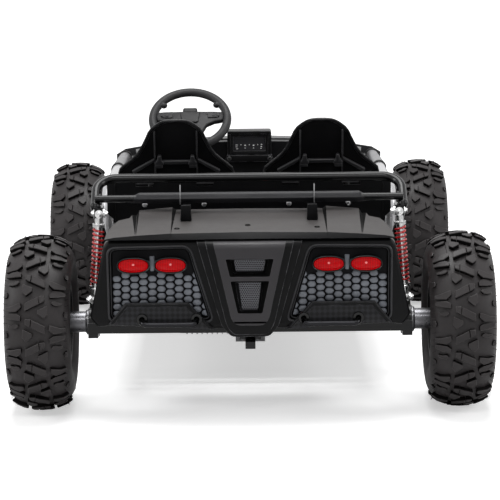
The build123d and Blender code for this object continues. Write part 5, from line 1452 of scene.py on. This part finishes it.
cover_screws = []
for side in (1, -1):
    for x, y, z, tilt in ((0.120, 0.345, 0.4395, 6.0), (0.235, 0.350, 0.4170, 14.0), (0.110, 0.560, 0.4085, 9.0),
                          (0.068, 0.715, 0.3370, 27.0)):
        turn = Matrix.Rotation(radians(side * tilt * 0.6), 4, "Y") @ Matrix.Rotation(radians(-tilt), 4, "X")
        cover_screws.append(moved_copy(dome_screw, "cowl_screws", turn=Matrix.Translation((side * x, y, z)) @ turn))
fit(cover_screws, "cowl_screws", "body_plastic", black_screw)

lamp_clear = finish("lamp_clear", (0.62, 0.64, 0.67), 0.08, metallic=0.35, grain_size=2600.0, bump=0.02, cloud=0.05,
                    coat=0.9)
dress_solids(lamp_clear, "headlamps")
bezel_ring = spun(((0.0, 0.0245), (-0.003, 0.0280), (0.0035, 0.0300), (0.0060, 0.0285), (0.0070, 0.0245)),
                  "headlamp_bezel", 48, "Y")
bezel_rings = copies_at(bezel_ring, "headlamp_bezel", [(side * 0.106, 0.7425, 0.254) for side in (1, -1)])
fit(bezel_rings, "headlamp_bezels", "body_plastic", bezel_gloss, smooth=40)
nose_face = 0.7420
grille_outline = [(-70, 279), (70, 279), (62, 198), (-62, 198)]
grille_frame = slab("grille_frame", softened(grille_outline, 9.0), nose_face - 0.001, nose_face + 0.0048, 0.0)
grille_hole = slab("grille_hole", softened(grown(grille_outline, -5.0), 6.0), nose_face + 0.0006,
                   nose_face + 0.02, 0.0)
grille_frame = cut(grille_frame, grille_hole)
bevelled(grille_frame, 0.0011, 2, 38)
grille_bars = [grille_frame]
for n in range(6):
    z = 0.2085 + n * 0.0122
    half = 0.0585 + (z - 0.198) * 0.098
    grille_bars.append(cuboid("grille_bar", (-half, nose_face, z - 0.0022), (half, nose_face + 0.0038, z + 0.0022),
                              0.0010, 2))
fit(grille_bars, "nose_grille", "body_plastic", rim_painted_highlight)
bumper_pad = cuboid("bumper_pad", (-0.030, 0.7670, 0.2215), (0.030, 0.7855, 0.2500), 0.0050, 4)
settle_on(bumper_pad, "chassis", "soft_black", strap_rubber)


# Pedals, steering links and the rest of the small metal. The pedals are cast, each with a ribbed rubber face.
dress_solids(cast_metal, "pedals", "rack_housing")
dress_solids(flange_steel, "tie_rod_left", "tie_rod_right", "steering_rack")
pad_ribs = []
for x in (-0.189, -0.085):
    for n in range(6):
        share = (n + 0.5) / 6
        y = 0.2800 + 0.0220 * share - 0.0016
        z = 0.2427 + 0.0610 * share
        rib_bar = cuboid("pad_rib", (x - 0.022, -0.0014, -0.0020), (x + 0.022, 0.0016, 0.0020), 0.0008, 2)
        rib_bar.data.transform(Matrix.Translation((0, y, z)) @ Matrix.Rotation(radians(-19.8), 4, "X"))
        pad_ribs.append(rib_bar)
fit(pad_ribs, "pedal_pads", "soft_black", strap_rubber)
bpy.data.objects.remove(dome_screw)
